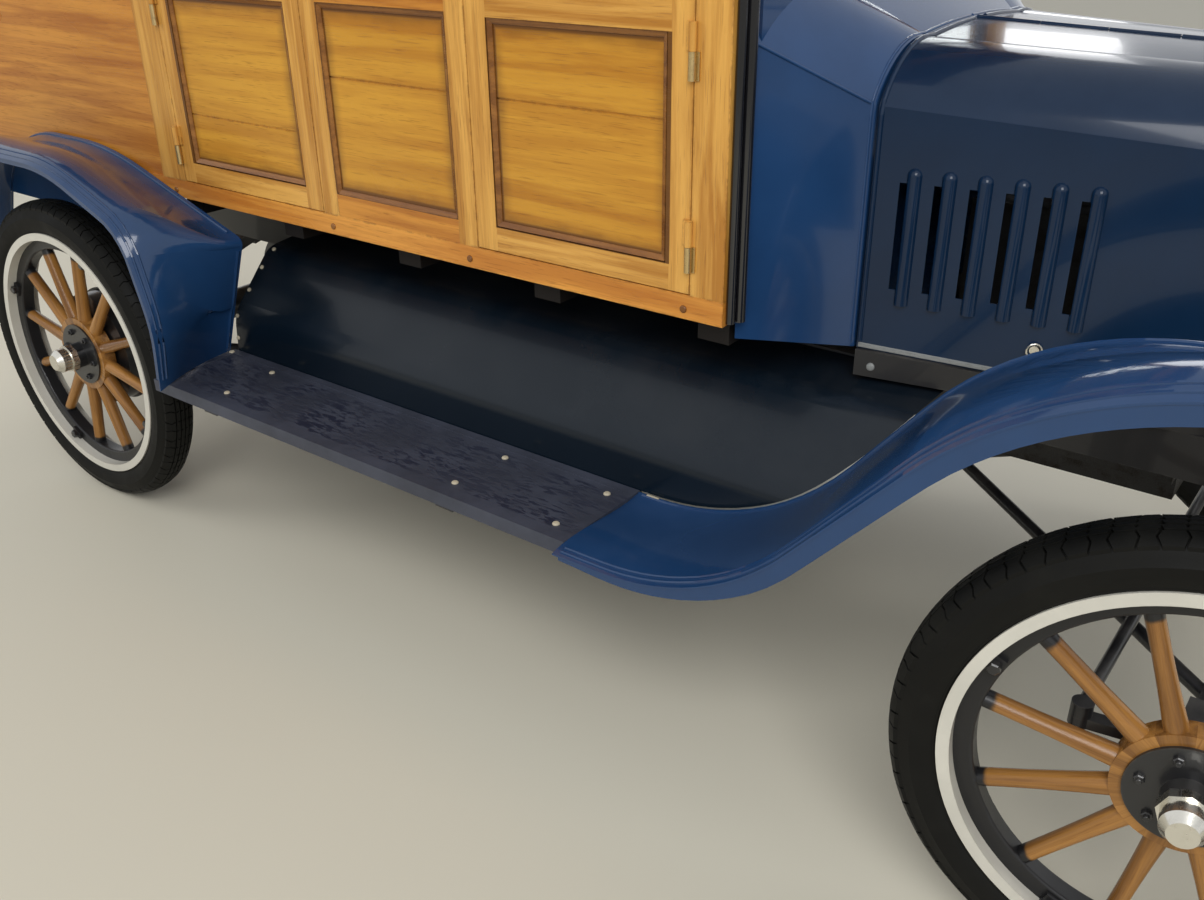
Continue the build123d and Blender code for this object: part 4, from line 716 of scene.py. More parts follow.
def add_rod(work: BMesh, points: Sequence[Point], radius: float, sides: int = 8) -> None:
    """Adds a round rod along a run of points, closed at both ends.

    Args:
        work: the mesh work.
        points: the run, at least two points.
        radius: the rod's radius.
        sides: how many sides it has.
    """
    run = [Vector(p) for p in points]
    aims = [(run[min(i + 1, len(run) - 1)] - run[max(i - 1, 0)]).normalized() for i in range(len(run))]
    place = facing(run[0], aims[0])
    ring = bmesh.ops.create_circle(work, cap_ends=True, segments=sides, radius=radius, matrix=place)["verts"]
    last = list(ring[0].link_faces)
    for point, aim in zip(run[1:], aims[1:]):
        step = bmesh.ops.extrude_face_region(work, geom=last)["geom"]
        last = [f for f in step if isinstance(f, BMFace)]
        following = facing(point, aim)
        bmesh.ops.transform(work, matrix=following @ place.inverted(), verts=moved(step))
        place = following
    bmesh.ops.recalc_face_normals(work, faces=work.faces)


def add_band(work: BMesh, path: Sequence[Vector], moves: Sequence[Vector], gauge: float) -> None:
    """Adds a thin sheet that hangs from a path.

    Args:
        work: the mesh work.
        path: the sheet's upper edge.
        moves: where each point's lower edge lies from it.
        gauge: the sheet's thickness.
    """
    verts = [work.verts.new(point) for point in path]
    edges = [work.edges.new(pair) for pair in zip(verts, verts[1:])]
    step = bmesh.ops.extrude_edge_only(work, edges=edges)["geom"]
    faces = [f for f in step if isinstance(f, BMFace)]
    for vert, move in zip(verts, moves):
        ends = (edge.other_vert(vert) for edge in vert.link_edges if edge not in edges)
        below = next(end for end in ends if end not in verts)
        below.co += move
    bmesh.ops.recalc_face_normals(work, faces=faces)
    bmesh.ops.solidify(work, geom=faces, thickness=gauge)


def spun(work: BMesh, geom: list, steps: int) -> None:
    """Spins a section once round Z and closes it."""
    turn = {"cent": (0, 0, 0), "axis": (0, 0, 1), "angle": math.tau}
    bmesh.ops.spin(work, geom=geom, steps=steps, use_merge=True, **turn)


def add_ring(
    work: BMesh, place: Matrix, radius: float, gauge: float, steps: int = 32, sides: int = 8
) -> None:
    """Adds a round ring about the local Z of a place."""
    turn = Matrix.Translation((radius, 0, 0)) @ Matrix.Rotation(math.pi / 2, 4, "X")
    verts = bmesh.ops.create_circle(work, segments=sides, radius=gauge, matrix=turn)["verts"]
    start = set(work.verts) - set(verts)
    spun(work, verts + edges_of(verts), steps)
    ring = [v for v in work.verts if v not in start]
    bmesh.ops.recalc_face_normals(work, faces=list({f for v in ring for f in v.link_faces}))
    bmesh.ops.transform(work, matrix=place, verts=ring)


def add_moulding(work: BMesh, place: Matrix, width: float, height: float, rib: float, rise: float) -> None:
    """Adds a mitred frame of sloping moulding in a local XY plane.

    Args:
        work: the mesh work.
        place: the frame's middle, with Z outwards.
        width: the opening's width.
        height: the opening's height.
        rib: how wide the moulding is.
        rise: how far it stands up at the opening's rim.
    """
    size = Matrix.Diagonal((width / 2, height / 2, 1, 1))
    verts = bmesh.ops.create_grid(work, x_segments=1, y_segments=1, size=1, matrix=size)["verts"]
    face = verts[0].link_faces[0]
    inset = {"thickness": rib, "use_even_offset": True, "use_boundary": True}
    ring = bmesh.ops.inset_region(work, faces=[face], **inset)["faces"]
    bmesh.ops.delete(work, geom=[face], context="FACES_ONLY")
    tops = moved(bmesh.ops.extrude_face_region(work, geom=ring)["geom"])
    for vert in tops:
        outer = abs(vert.co.x) > width / 2 - rib / 2 or abs(vert.co.y) > height / 2 - rib / 2
        vert.co.z += rise if outer else rise * 0.3
    made = list({v for f in ring if f.is_valid for v in f.verts} | set(tops))
    bmesh.ops.recalc_face_normals(work, faces=list({f for v in made for f in v.link_faces}))
    bmesh.ops.transform(work, matrix=place, verts=made)


def span(points: Iterable[Vector]) -> Pair:
    """The lowest and highest corner of some points."""
    sides = list(zip(*points))
    return Vector([min(side) for side in sides]), Vector([max(side) for side in sides])


@dataclass
class Wheel:
    """A wheel's tyre with its tread, and the fittings on its rim and hub."""

    corner: str
    radius: float = 0.381
    width: float = 0.089
    seat: float = 0.294
    half_rim: float = 0.036
    tread_depth: float = 0.0045
    sink: float = 0.003
    flat: float = 0.0295
    crown_drop: float = 0.006
    groove: float = 0.0032
    swing: float = 0.0042
    rib_places: tuple[float, ...] = (-0.0115, 0.0, 0.0115)
    rib: float = 0.0085
    periods: int = 44
    steps: int = 132
    rest: float = math.radians(19.5)
    shoulder: tuple[float, ...] = (0.0185, 0.0275, 0.0365)
    flange_face: float = 0.022
    nut_circle: float = 0.058
    lug_circle: float = 0.279
    valve_circle: float = 0.262
    cap_radius: float = 0.0287
    reach: float = 0.092

    def __post_init__(self) -> None:
        """Reads the wheel's centre and axle line from its joint."""
        joint = next(j for j in frame["joints"] if j["name"] == f"spin_{self.corner}")
        self.centre, self.axis = Vector(joint["pos_m"]), Vector(joint["axis"])
        self.body = f"wheel_{self.corner}"
        up = Vector((0, 0, 1))
        ahead = up.cross(self.axis)
        ahead *= math.copysign(1, ahead.x)
        first = ahead * math.cos(self.rest) + up * math.sin(self.rest)
        self.place = Matrix.Translation(self.centre) @ framed_by(first, self.axis.cross(first), self.axis)
        self.turn = math.atan2(self.axis.y, self.axis.x) - math.copysign(math.pi / 2, self.axis.y)

    def crown(self, across: float) -> float:
        """The radius of the tread's top at a distance from the tyre's middle."""
        off = min(abs(across), self.flat)
        return self.radius - self.crown_drop * (off / self.flat) ** 2 - 1.1 * (abs(across) - off)

    def carcass(self, work: BMesh) -> None:
        """Spins the tyre's section, with ribs on its walls and the grooves' floor."""
        half, bulge = self.width / 2, self.radius - self.width / 2
        bead = ((0, 0), (0.014, 0), (0.017, 0.003), (0.0195, 0.0028), (0.021, 0.004))
        wall = (
            (-0.006, -0.0006), (0.004, 0), (0.007, 0.0006), (0.01, -0.001), (0.018, -0.0045), (0.0235, -0.007),
        )
        side = [(self.seat + up, self.half_rim + out) for up, out in bead]
        side += [(bulge + up, half + out) for up, out in wall]
        side += [(self.crown(y) - self.tread_depth, y) for y in (0.034, 0.027, 0.018, 0.009, 0.0)]
        section = side + [(r, -y) for r, y in reversed(side[:-1])]
        verts = [work.verts.new((r, 0, y)) for r, y in section]
        edges = [work.edges.new(pair) for pair in zip(verts, verts[1:])]
        edges.append(work.edges.new((verts[-1], verts[0])))
        spun(work, verts + edges, self.steps)

    def block(self, work: BMesh, rows: Sequence[tuple[float, float, float]]) -> None:
        """Adds one raised tread block.

        Args:
            work: the mesh work.
            rows: from one side to the other, where across the tyre, and from where to where round it.
        """
        pairs = []
        for across, *ends in rows:
            low = self.crown(across) - self.tread_depth - self.sink
            angles = [end / self.radius for end in ends]
            pairs.append([work.verts.new((low * math.cos(a), low * math.sin(a), across)) for a in angles])
        faces = [work.faces.new((*first, *reversed(second))) for first, second in zip(pairs, pairs[1:])]
        for vert in moved(bmesh.ops.extrude_face_region(work, geom=faces)["geom"]):
            vert.co += Vector((vert.co.x, vert.co.y, 0)).normalized() * (self.tread_depth + self.sink)

    def tread(self) -> BMesh:
        """Lays zigzag ribs and notched shoulder blocks round the tyre."""
        work = bmesh.new()
        half, gap = math.pi * self.radius / self.periods, self.groove / 2
        for middle in self.rib_places:
            for start, lean in ((0.0, self.swing), (half, -self.swing)):
                rows = []
                for edge in (-1, 1):
                    first = start - lean * 0.5 * edge
                    rows.append((middle + edge * self.rib / 2, first + gap * 0.7, first + half - gap * 0.7))
                self.block(work, rows)
        for side in (-1, 1):
            for start, lean in ((0.0, -self.swing), (half, self.swing)):
                first, last = start + gap, start + half - gap
                ends = ((first, last), (first + lean, last - lean), (first, last))
                self.block(work, [(side * across, *pair) for across, pair in zip(self.shoulder, ends)])
        bmesh.ops.recalc_face_normals(work, faces=work.faces)
        copies = self.periods - 1
        turn = {"cent": (0, 0, 0), "axis": (0, 0, 1), "angle": math.tau * copies / self.periods}
        geom = [*work.verts, *work.edges, *work.faces]
        bmesh.ops.spin(work, geom=geom, steps=copies, use_duplicate=True, **turn)
        return work

    def build(self) -> None:
        """Builds the tyre and the fittings and places them on the wheel."""
        mesh = as_mesh(self.tread(), "tread")
        piece = Piece(f"treaded_tyre_{self.corner}", "tyre", self.body, smooth=35)
        with piece as work:
            self.carcass(work)
            bmesh.ops.recalc_face_normals(work, faces=work.faces)
            work.from_mesh(mesh)
            bpy.data.meshes.remove(mesh)
            bmesh.ops.transform(work, matrix=self.place, verts=work.verts)
        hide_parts(f"tyre_{self.corner}")
        self.fittings()

    def spot(self, radius: float, share: float, height: float) -> Matrix:
        """A place on the wheel's face, at a share of a turn."""
        angle = math.tau * share
        return self.place @ Matrix.Translation((radius * math.cos(angle), radius * math.sin(angle), height))

    def fittings(self) -> None:
        """Adds the plated cap, the flange's bolts, the rim's lug nuts and the valve."""
        base, wide, face = self.flange_face + 0.022, self.cap_radius, self.reach - 0.012
        with Piece(f"hub_cap_{self.corner}", "nickel", self.body, smooth=30) as work:
            add_disc(work, self.place, (wide, wide), base + 0.012, face, 40)
            nut = self.place @ Matrix.Rotation(math.pi / 8, 4, "Z")
            add_disc(work, nut, (wide + 0.0055, wide + 0.0055), base - 0.0004, base + 0.0146, 8)
            add_disc(work, self.place, (wide, wide - 0.0092), face, self.reach + 0.0006, 40)
        with Piece(f"wheel_nuts_{self.corner}", "hub_black", self.body, smooth=30) as work:
            for index in range(6):
                spot = self.spot(self.nut_circle, (index + 0.5) / 6, self.flange_face)
                add_bolt(work, spot, 0.0075, 0.006)
                add_bolt(work, spot, 0.0042, 0.0105, 10)
            for index in range(4):
                add_bolt(work, self.spot(self.lug_circle, (index + 0.5) / 4, 0.024), 0.0098, 0.011)
        stem = self.spot(self.valve_circle, 1 / 24, 0) @ Matrix.Rotation(math.tau / 24, 4, "Z")
        stem = stem @ Matrix.Rotation(-math.pi / 2, 4, "Y")
        with Piece(f"valve_{self.corner}", "brass", self.body, smooth=30) as work:
            add_disc(work, stem, (0.0045, 0.0045), 0, 0.03, 12)
            add_disc(work, stem, (0.0055, 0.005), 0.018, 0.032, 12)


@dataclass
class Seats:
    """Pleated cushions and backs, swollen as cloth and then sewn in channels."""

    lean: float = math.radians(9)
    pleats: int = 14
    gap: float = 0.003
    swell: float = 0.014
    edge: float = 0.026
    voxel: float = 0.0105
    frames: int = 20
    pressure: float = 4.0
    groove: float = 0.009
    groove_width: float = 0.0065

    def baked(self, made: Object) -> None:
        """Puts the result of an object's modifiers in its mesh and drops them."""
        graph = bpy.context.evaluated_depsgraph_get()
        result = bpy.data.meshes.new_from_object(made.evaluated_get(graph))
        made.modifiers.clear()
        old, made.data = made.data, result
        bpy.data.meshes.remove(old)

    def swollen(self, made: Object, half: Vector) -> None:
        """Runs the cloth simulation on a pad about the origin and applies it.

        Args:
            made: the pad's object, a closed even mesh.
            half: half the size of the space that it may fill.
        """
        rest = [vert.co.copy() for vert in made.data.vertices]
        cloth = made.modifiers.new("air", "CLOTH")
        cloth.settings.use_pressure = True
        cloth.settings.uniform_pressure_force = self.pressure
        cloth.settings.effector_weights.gravity = 0
        cloth.point_cache.frame_start, cloth.point_cache.frame_end = 1, self.frames
        for step in range(1, self.frames + 1):
            bpy.context.scene.frame_set(step)
        self.baked(made)
        bpy.context.scene.frame_set(1)
        for vert, start in zip(made.data.vertices, rest):
            move = vert.co - start
            if move.length > self.swell:
                move *= self.swell / move.length
            vert.co = Vector([max(-size, min(size, value)) for value, size in zip(start + move, half)])

    def sewn(self, made: Object, half: Vector, thin: int) -> None:
        """Presses the sewn channels into the pad's outer face.

        Args:
            made: the pad's object.
            half: half its size.
            thin: the axis of its thickness.
        """
        wide, pitch = 2 - thin, 2 * half.y / self.pleats
        for vert in made.data.vertices:
            face, phase = vert.co[thin] / half[thin], (vert.co.y + half.y) / pitch
            if face < 0.1 or min(abs(phase), abs(self.pleats - phase)) < 0.5:
                continue
            off = abs(phase - round(phase)) * pitch
            lane = max(0.0, 1 - (abs(vert.co[wide]) / (half[wide] - 0.012)) ** 8)
            depth = self.groove * math.exp(-((off / self.groove_width) ** 2)) * lane
            vert.co[thin] -= depth * min(1.0, (face - 0.1) / 0.5)

    def pad(self, low: Vector, high: Vector, lean: float, name: str) -> Object:
        """Builds one padded piece.

        Args:
            low: the solid's lowest corner, before it leans.
            high: its highest corner.
            lean: the back's lean in radians about its middle, 0 for a cushion.
            name: the piece's name.

        Returns:
            The piece.
        """
        centre, half = (low + high) / 2, (high - low) / 2 - Vector((self.gap,) * 3)
        thin = 0 if half.z > half.x else 2
        start = half - Vector((self.swell,) * 3)
        shift = Vector((0, 0, 0))
        shift[thin] = -self.swell
        work = bmesh.new()
        bmesh.ops.create_cube(work, size=2, matrix=Matrix.Translation(shift) @ Matrix.Diagonal((*start, 1)))
        bevelled(work, list(work.edges), self.edge, 4)
        made = linked(name, as_mesh(work, name))
        even = made.modifiers.new("even", "REMESH")
        even.mode, even.voxel_size = "VOXEL", self.voxel
        self.baked(made)
        self.swollen(made, half)
        finer = made.modifiers.new("finer", "SUBSURF")
        finer.levels = finer.render_levels = 1
        self.baked(made)
        self.sewn(made, half, thin)
        made.data.transform(Matrix.Translation(centre) @ Matrix.Rotation(-lean, 4, "Y"))
        made.data.materials.clear()
        made.data.materials.append(FINISHES["seat_leather"])
        made.data.shade_smooth()
        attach(made, "root")
        log.info("%s: %d faces", name, len(made.data.polygons))
        return made

    def solids(self, node: str) -> list[list[Vector]]:
        """The points of each separate solid of a CAD node, from the rear of the car forwards."""
        work = bmesh.new()
        work.from_mesh(frame["nodes"][node].data)
        bmesh.ops.remove_doubles(work, verts=work.verts, dist=1e-5)
        left, found = set(work.verts), []
        while left:
            stack, group = [left.pop()], []
            while stack:
                vert = stack.pop()
                group.append(vert.co.copy())
                near = {edge.other_vert(vert) for edge in vert.link_edges} & left
                left -= near
                stack += near
            found.append(group)
        work.free()
        return sorted(found, key=lambda group: span(group)[0].x)

    def build(self) -> None:
        """Builds the two cushions and two backs."""
        for node, lean in (("seat_cushions", 0.0), ("seat_backs", self.lean)):
            made = []
            for end, points in zip(("rear", "front"), self.solids(node)):
                low, high = span(points)
                if lean:
                    centre, back = (low + high) / 2, Matrix.Rotation(lean, 3, "Y")
                    low, high = span(back @ (p - centre) + centre for p in points)
                made.append(self.pad(low, high, lean, f"{node}_{end}"))
            for piece in made:
                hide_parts(node)


@dataclass
class RoofCloth:
    """The coated cloth stretched over the roof deck, with its edge strip and tacks."""

    lift: float = 0.0012
    steps: int = 24
    gauge: float = 0.0014
    over: float = 0.001
    rim: float = 0.009
    tack_pitch: float = 0.06
    tack_sink: float = 0.0045

    def __post_init__(self) -> None:
        """Reads the deck's arc from its box."""
        low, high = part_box("roof_cover")
        self.low, self.high = low, high
        half, rise = high.y, high.z - (low.z + self.rim)
        self.radius = (half**2 + rise**2) / (2 * rise)
        self.centre = high.z - self.radius
        self.angle = math.asin(half / self.radius)

    def on_arc(self, x: float, off: float, share: float) -> tuple[float, float, float]:
        """A point at a distance off the deck's arc, at a share of the way across."""
        reach, angle = self.radius + off, -self.angle + 2 * self.angle * share
        return x, reach * math.sin(angle), self.centre + reach * math.cos(angle)

    def build(self) -> None:
        """Spreads the cloth on the deck's arc and trims it."""
        low, high = self.low, self.high
        length = high.x - low.x + 2 * self.over
        sheet = Piece("roof_cloth_sheet", "roof_cloth", smooth=60)
        with sheet as work:
            shares = [index / self.steps for index in range(self.steps + 1)]
            verts = [work.verts.new(self.on_arc(low.x - self.over, self.lift, share)) for share in shares]
            edges = [work.edges.new(pair) for pair in zip(verts, verts[1:])]
            step = bmesh.ops.extrude_edge_only(work, edges=edges)["geom"]
            bmesh.ops.translate(work, verts=moved(step), vec=(length, 0, 0))
            long_edges = [e for e in work.edges if abs(e.verts[0].co.x - e.verts[1].co.x) > 1]
            bmesh.ops.subdivide_edges(work, edges=long_edges, cuts=40, use_grid_fill=True)
            bmesh.ops.recalc_face_normals(work, faces=work.faces)
        cloth = sheet.made
        thick = cloth.modifiers.new("cloth gauge", "SOLIDIFY")
        thick.thickness, thick.offset = self.gauge, 1
        self.trim(length)

    def trim(self, length: float) -> None:
        """Nails a strip along both sides, and rows of tacks at the sides and ends."""
        low, high, half = self.low.x, self.high.x, self.high.y
        edge = self.on_arc(0, 0, 0)[2]
        with Piece("roof_edge_trim", "lamp_black") as work:
            for side in (-1, 1):
                middle = Vector(((low + high) / 2, side * (half + 0.002), edge - 0.0025))
                size = Matrix.Diagonal((length, 0.006, 0.013, 1))
                strip = bmesh.ops.create_cube(work, size=1, matrix=Matrix.Translation(middle) @ size)["verts"]
                bevelled(work, edges_of(strip), 0.002, 2)
                for index in range(int((high - low) / self.tack_pitch)):
                    spot = (low + 0.03 + index * self.tack_pitch, side * (half + 0.005), edge - 0.0025)
                    add_bolt(work, facing(spot, (0, side, 0)), 0.004, 0.0025, 8, True)
            for x, aim in ((low, -1), (high, 1)):
                for index in range(1, 2 * self.steps, 2):
                    spot = self.on_arc(x + aim * self.over, -self.tack_sink, index / (2 * self.steps))
                    add_bolt(work, facing(spot, (aim, 0, 0)), 0.004, 0.0025, 8, True)


class Skin:
    """The faces of CAD nodes, asked for points by rays."""

    def __init__(self, *nodes: str) -> None:
        """Gathers the nodes' faces in one tree."""
        work = bmesh.new()
        for node in nodes:
            work.from_mesh(frame["nodes"][node].data)
        self.tree = BVHTree.FromBMesh(work)
        work.free()

    def touches(self, rays: Iterable[tuple[Point, Point]]) -> list[Pair]:
        """The first point that each ray meets and the normal there, turned against the ray."""
        hits = []
        for start, aim in rays:
            way = Vector(aim).normalized()
            point, normal, _, _ = self.tree.ray_cast(Vector(start), way)
            if point is not None:
                hits.append((point, -normal if normal.dot(way) > 0 else normal))
        return hits

    def run(self, rays: Iterable[tuple[Point, Point]], lift: float = 0.0) -> list[Vector]:
        """The points that the rays meet, lifted off the faces."""
        return [point + normal * lift for point, normal in self.touches(rays)]


def fan_rays(centre: Point, ahead: Point, angles: Limits, count: int, reach: float) -> list[Pair]:
    """Rays from a circle towards its centre.

    Args:
        centre: the circle's centre.
        ahead: the level direction of angle 0.
        angles: the first and the last ray's angle above it, in degrees.
        count: how many rays.
        reach: the circle's radius.

    Returns:
        Start and direction of each ray.
    """
    rays, (start, stop) = [], angles
    for index in range(count):
        angle = math.radians(start + (stop - start) * index / (count - 1))
        out = Vector(ahead) * math.cos(angle) + Vector((0, 0, math.sin(angle)))
        rays.append((Vector(centre) + out * reach, -out))
    return rays


def row_rays(first: Point, last: Point, aim: Point, count: int) -> list[Pair]:
    """Parallel rays from evenly spaced places between two points."""
    rays = []
    for share in (index / (count - 1) for index in range(count)):
        rays.append((Vector([a + (b - a) * share for a, b in zip(first, last)]), Vector(aim)))
    return rays


def side_ray(side: int, x: float, z: float) -> tuple[Point, Point]:
    """A level ray from one side of the car inwards."""
    return (x, side * 1.4, z), (0, -side, 0)


def outward(side: int, x: float, y: float, z: float) -> Matrix:
    """A place on the car's side: local X along the car, Y up and Z outwards."""
    return Matrix.Translation((x, side * y, z)) @ framed_by((-side, 0, 0), (0, 0, 1), (0, side, 0))


@dataclass
class SideTrim:
    """What belongs to one side of the car, 1 for its left and -1 for its right."""

    side: int

    def __post_init__(self) -> None:
        """Names the side."""
        self.name = "left" if self.side > 0 else "right"


@dataclass
class FenderTrim(SideTrim):
    """Beads, lips and bolts of the fenders, apron and running board of one side."""

    outer: float = 0.812
    bead: float = 0.003
    front_axle: float = 1.435
    rear_axle: float = -1.105
    axle_height: float = 0.381
    front_seam: float = 0.5695
    rear_seam: float = 0.5865
    plate_seam: float = 0.5665
    board_bolts: tuple[tuple[float, float], ...] = (
        (-0.694, 0.577), (-0.677, 0.737), (-0.516, 0.600), (-0.506, 0.729),
        (0.194, 0.605), (0.185, 0.734), (0.438, 0.603), (0.430, 0.739),
    )
    apron_bolts: tuple[tuple[float, float], ...] = (
        (-0.689, 0.462), (-0.689, 0.515), (-0.685, 0.568), (-0.681, 0.613), (-0.676, 0.648),
    )

    def front_rays(self, across: float) -> list[Pair]:
        """Rays onto the front fender, from its front end back to the board."""
        y = self.side * across
        over = fan_rays((self.front_axle, y, self.axle_height), (1, 0, 0), (29, 100), 26, 1.3)
        return over + row_rays((1.31, y, 2.5), (0.492, y, 2.5), (0, 0, -1), 32)

    def rear_rays(self, across: float, start: float = 9.0) -> list[Pair]:
        """Rays onto the rear fender, from its foot to its rear end."""
        centre = (self.rear_axle, self.side * across, self.axle_height)
        return fan_rays(centre, (1, 0, 0), (start, 157), 48, 1.3)

    def front_lip(self, x: float) -> float:
        """How deep the front fender's lip is at a station: it narrows towards the board."""
        return 0.009 + 0.019 * min(1.0, max(0.0, (x - 0.5) / 0.35))

    def lip(self, work: BMesh, hits: list[Pair], depth: Callable[[float], float]) -> None:
        """Hangs the turned-down lip from a fender's outer edge.

        Args:
            work: the mesh work.
            hits: points and normals along the edge.
            depth: how deep the lip is at a station.
        """
        downs = [Vector((-normal.x, 0, -normal.z)).normalized() for _, normal in hits]
        path = [point + down * 0.001 for (point, _), down in zip(hits, downs)]
        add_band(work, path, [down * depth(point.x) for (point, _), down in zip(hits, downs)], 0.0016)

    def build(self) -> None:
        """Builds the beads, the lips and the fastenings."""
        front, rear, bead = Skin("front_fenders"), Skin("rear_fenders"), self.bead
        with Piece(f"fender_beads_{self.name}", "body_blue", smooth=50) as work:
            for inset in (0.010, 0.021):
                add_rod(work, front.run(self.front_rays(self.outer - inset), -0.0004), bead, 6)
                add_rod(work, rear.run(self.rear_rays(self.outer - inset), -0.0004), bead, 6)
            add_rod(work, front.run(self.front_rays(self.front_seam), -0.0002), bead * 1.2, 6)
            add_rod(work, rear.run(self.rear_rays(self.rear_seam, 36.0), -0.0002), bead * 1.2, 6)
            y = self.side * self.rear_seam
            face = row_rays((-0.2, y, 0.445), (-0.2, y, 0.7), (-1, 0, 0), 11)
            add_rod(work, rear.run(face, -0.0002), bead * 1.4, 6)
            edge = self.outer - 0.0012
            self.lip(work, front.touches(self.front_rays(edge)), self.front_lip)
            self.lip(work, rear.touches(self.rear_rays(edge)), lambda x: 0.011)
        self.bolts(front)

    def bolts(self, fender: Skin) -> None:
        """Sets the carriage bolts of the board and apron, and the plates on the fender's seam."""
        board, apron = Skin("running_boards"), Skin("splash_aprons")
        with Piece(f"board_bolts_{self.name}", "bolt_cream", slot="nickel") as work:
            down = (0, 0, -1)
            for point, _ in board.touches(((x, self.side * y, 1.0), down) for x, y in self.board_bolts):
                add_bolt(work, facing(point, (0, 0, 1)), 0.0068, 0.0035, 14, True)
            for point, normal in apron.touches(side_ray(self.side, x, z) for x, z in self.apron_bolts):
                add_bolt(work, facing(point, normal), 0.0052, 0.004, 12, True)
            y = self.side * self.plate_seam
            for point, normal in fender.touches(((x, y, 1.6), down) for x in (0.512, 0.818)):
                along = Vector((normal.z, 0, -normal.x)).normalized()
                place = Matrix.Translation(point) @ framed_by(along, normal.cross(along), normal)
                bmesh.ops.create_cube(work, size=1, matrix=place @ Matrix.Diagonal((0.026, 0.0075, 0.003, 1)))


@dataclass
class HoodTrim(SideTrim):
    """Rolled edges, foot strip and latch of one half of the hood, and the cowl's beads."""

    rear: float = 0.785
    front: float = 1.44
    middle: float = 0.95
    low_angle: float = -31.0
    shelf_height: float = 0.6905

    def foot(self, x: float) -> float:
        """The height of the hood's lower edge at a station."""
        return 0.718 - 0.016 * (x - self.rear) / (self.front - self.rear)

    def hoop_rays(self, x: float, stop: float) -> list[Pair]:
        """Rays in a cross section of the car, from low outside up to an angle in degrees."""
        return fan_rays((x, 0, self.middle), (0, self.side, 0), (self.low_angle, stop), 40, 1.0)

    def build(self) -> None:
        """Builds the trim of the hood's half and of the cowl's side."""
        node = f"hood_{self.name}"
        skin = Skin(node)
        # The rolled edges take the hood's darkened blue: painted shade.
        with Piece(f"hood_beads_{self.name}", "hood_blue_painted_shade", node, "body_blue", 50) as work:
            for x in (self.rear + 0.0045, self.front - 0.0055):
                add_rod(work, skin.run(self.hoop_rays(x, 84)), 0.0042, 8)
        with Piece(f"hood_foot_strip_{self.name}", "strip_grey", node, "body_blue", 50) as work:
            first, last = self.rear + 0.003, self.front - 0.012
            start = (first, self.side * 1.4, self.foot(self.rear) + 0.0055)
            stop = (last, self.side * 1.4, self.foot(last) + 0.0055)
            add_rod(work, skin.run(row_rays(start, stop, (0, -self.side, 0), 4), -0.0008), 0.0048, 6)
        with Piece(f"hood_latch_{self.name}", "nickel", node) as work:
            for point, normal in skin.touches([side_ray(self.side, 1.06, 0.762)]):
                place = facing(point, normal)
                add_disc(work, place, (0.0085, 0.0075), -0.001, 0.004, 16)
                tilt = Matrix.Translation((0, 0, 0.005)) @ Matrix.Rotation(0.35, 4, "Y")
                add_ring(work, place @ tilt, 0.0115, 0.0016)
        with Piece(f"shelf_bolts_{self.name}", "strip_grey", slot="chassis_black") as work:
            rays = [side_ray(self.side, x, self.shelf_height) for x in (0.815, 1.03, 1.24, 1.405)]
            for point, normal in Skin("hood_shelves").touches(rays):
                add_bolt(work, facing(point, normal), 0.0072, 0.0042, 12, True)
        self.cowl()

    def cowl(self) -> None:
        """Lays the beads of the cowl's crease and front, and the black strip at the post."""
        with Piece(f"cowl_beads_{self.name}", "body_blue", smooth=50) as work:
            add_rod(work, Skin("cowl").run(self.hoop_rays(0.7755, 89), -0.0012), 0.003, 8)
            add_rod(work, [(0.655, self.side * 0.5268, 1.2108), (0.7735, self.side * 0.3728, 1.1148)], 0.003, 8)
        with Piece(f"post_strip_{self.name}", "lamp_black", smooth=50) as work:
            for x, y, gauge in ((0.6615, 0.5435, 0.0095), (0.6555, 0.5615, 0.0075)):
                add_rod(work, [(x, self.side * y, z) for z in (0.792, 1.298)], gauge, 12)


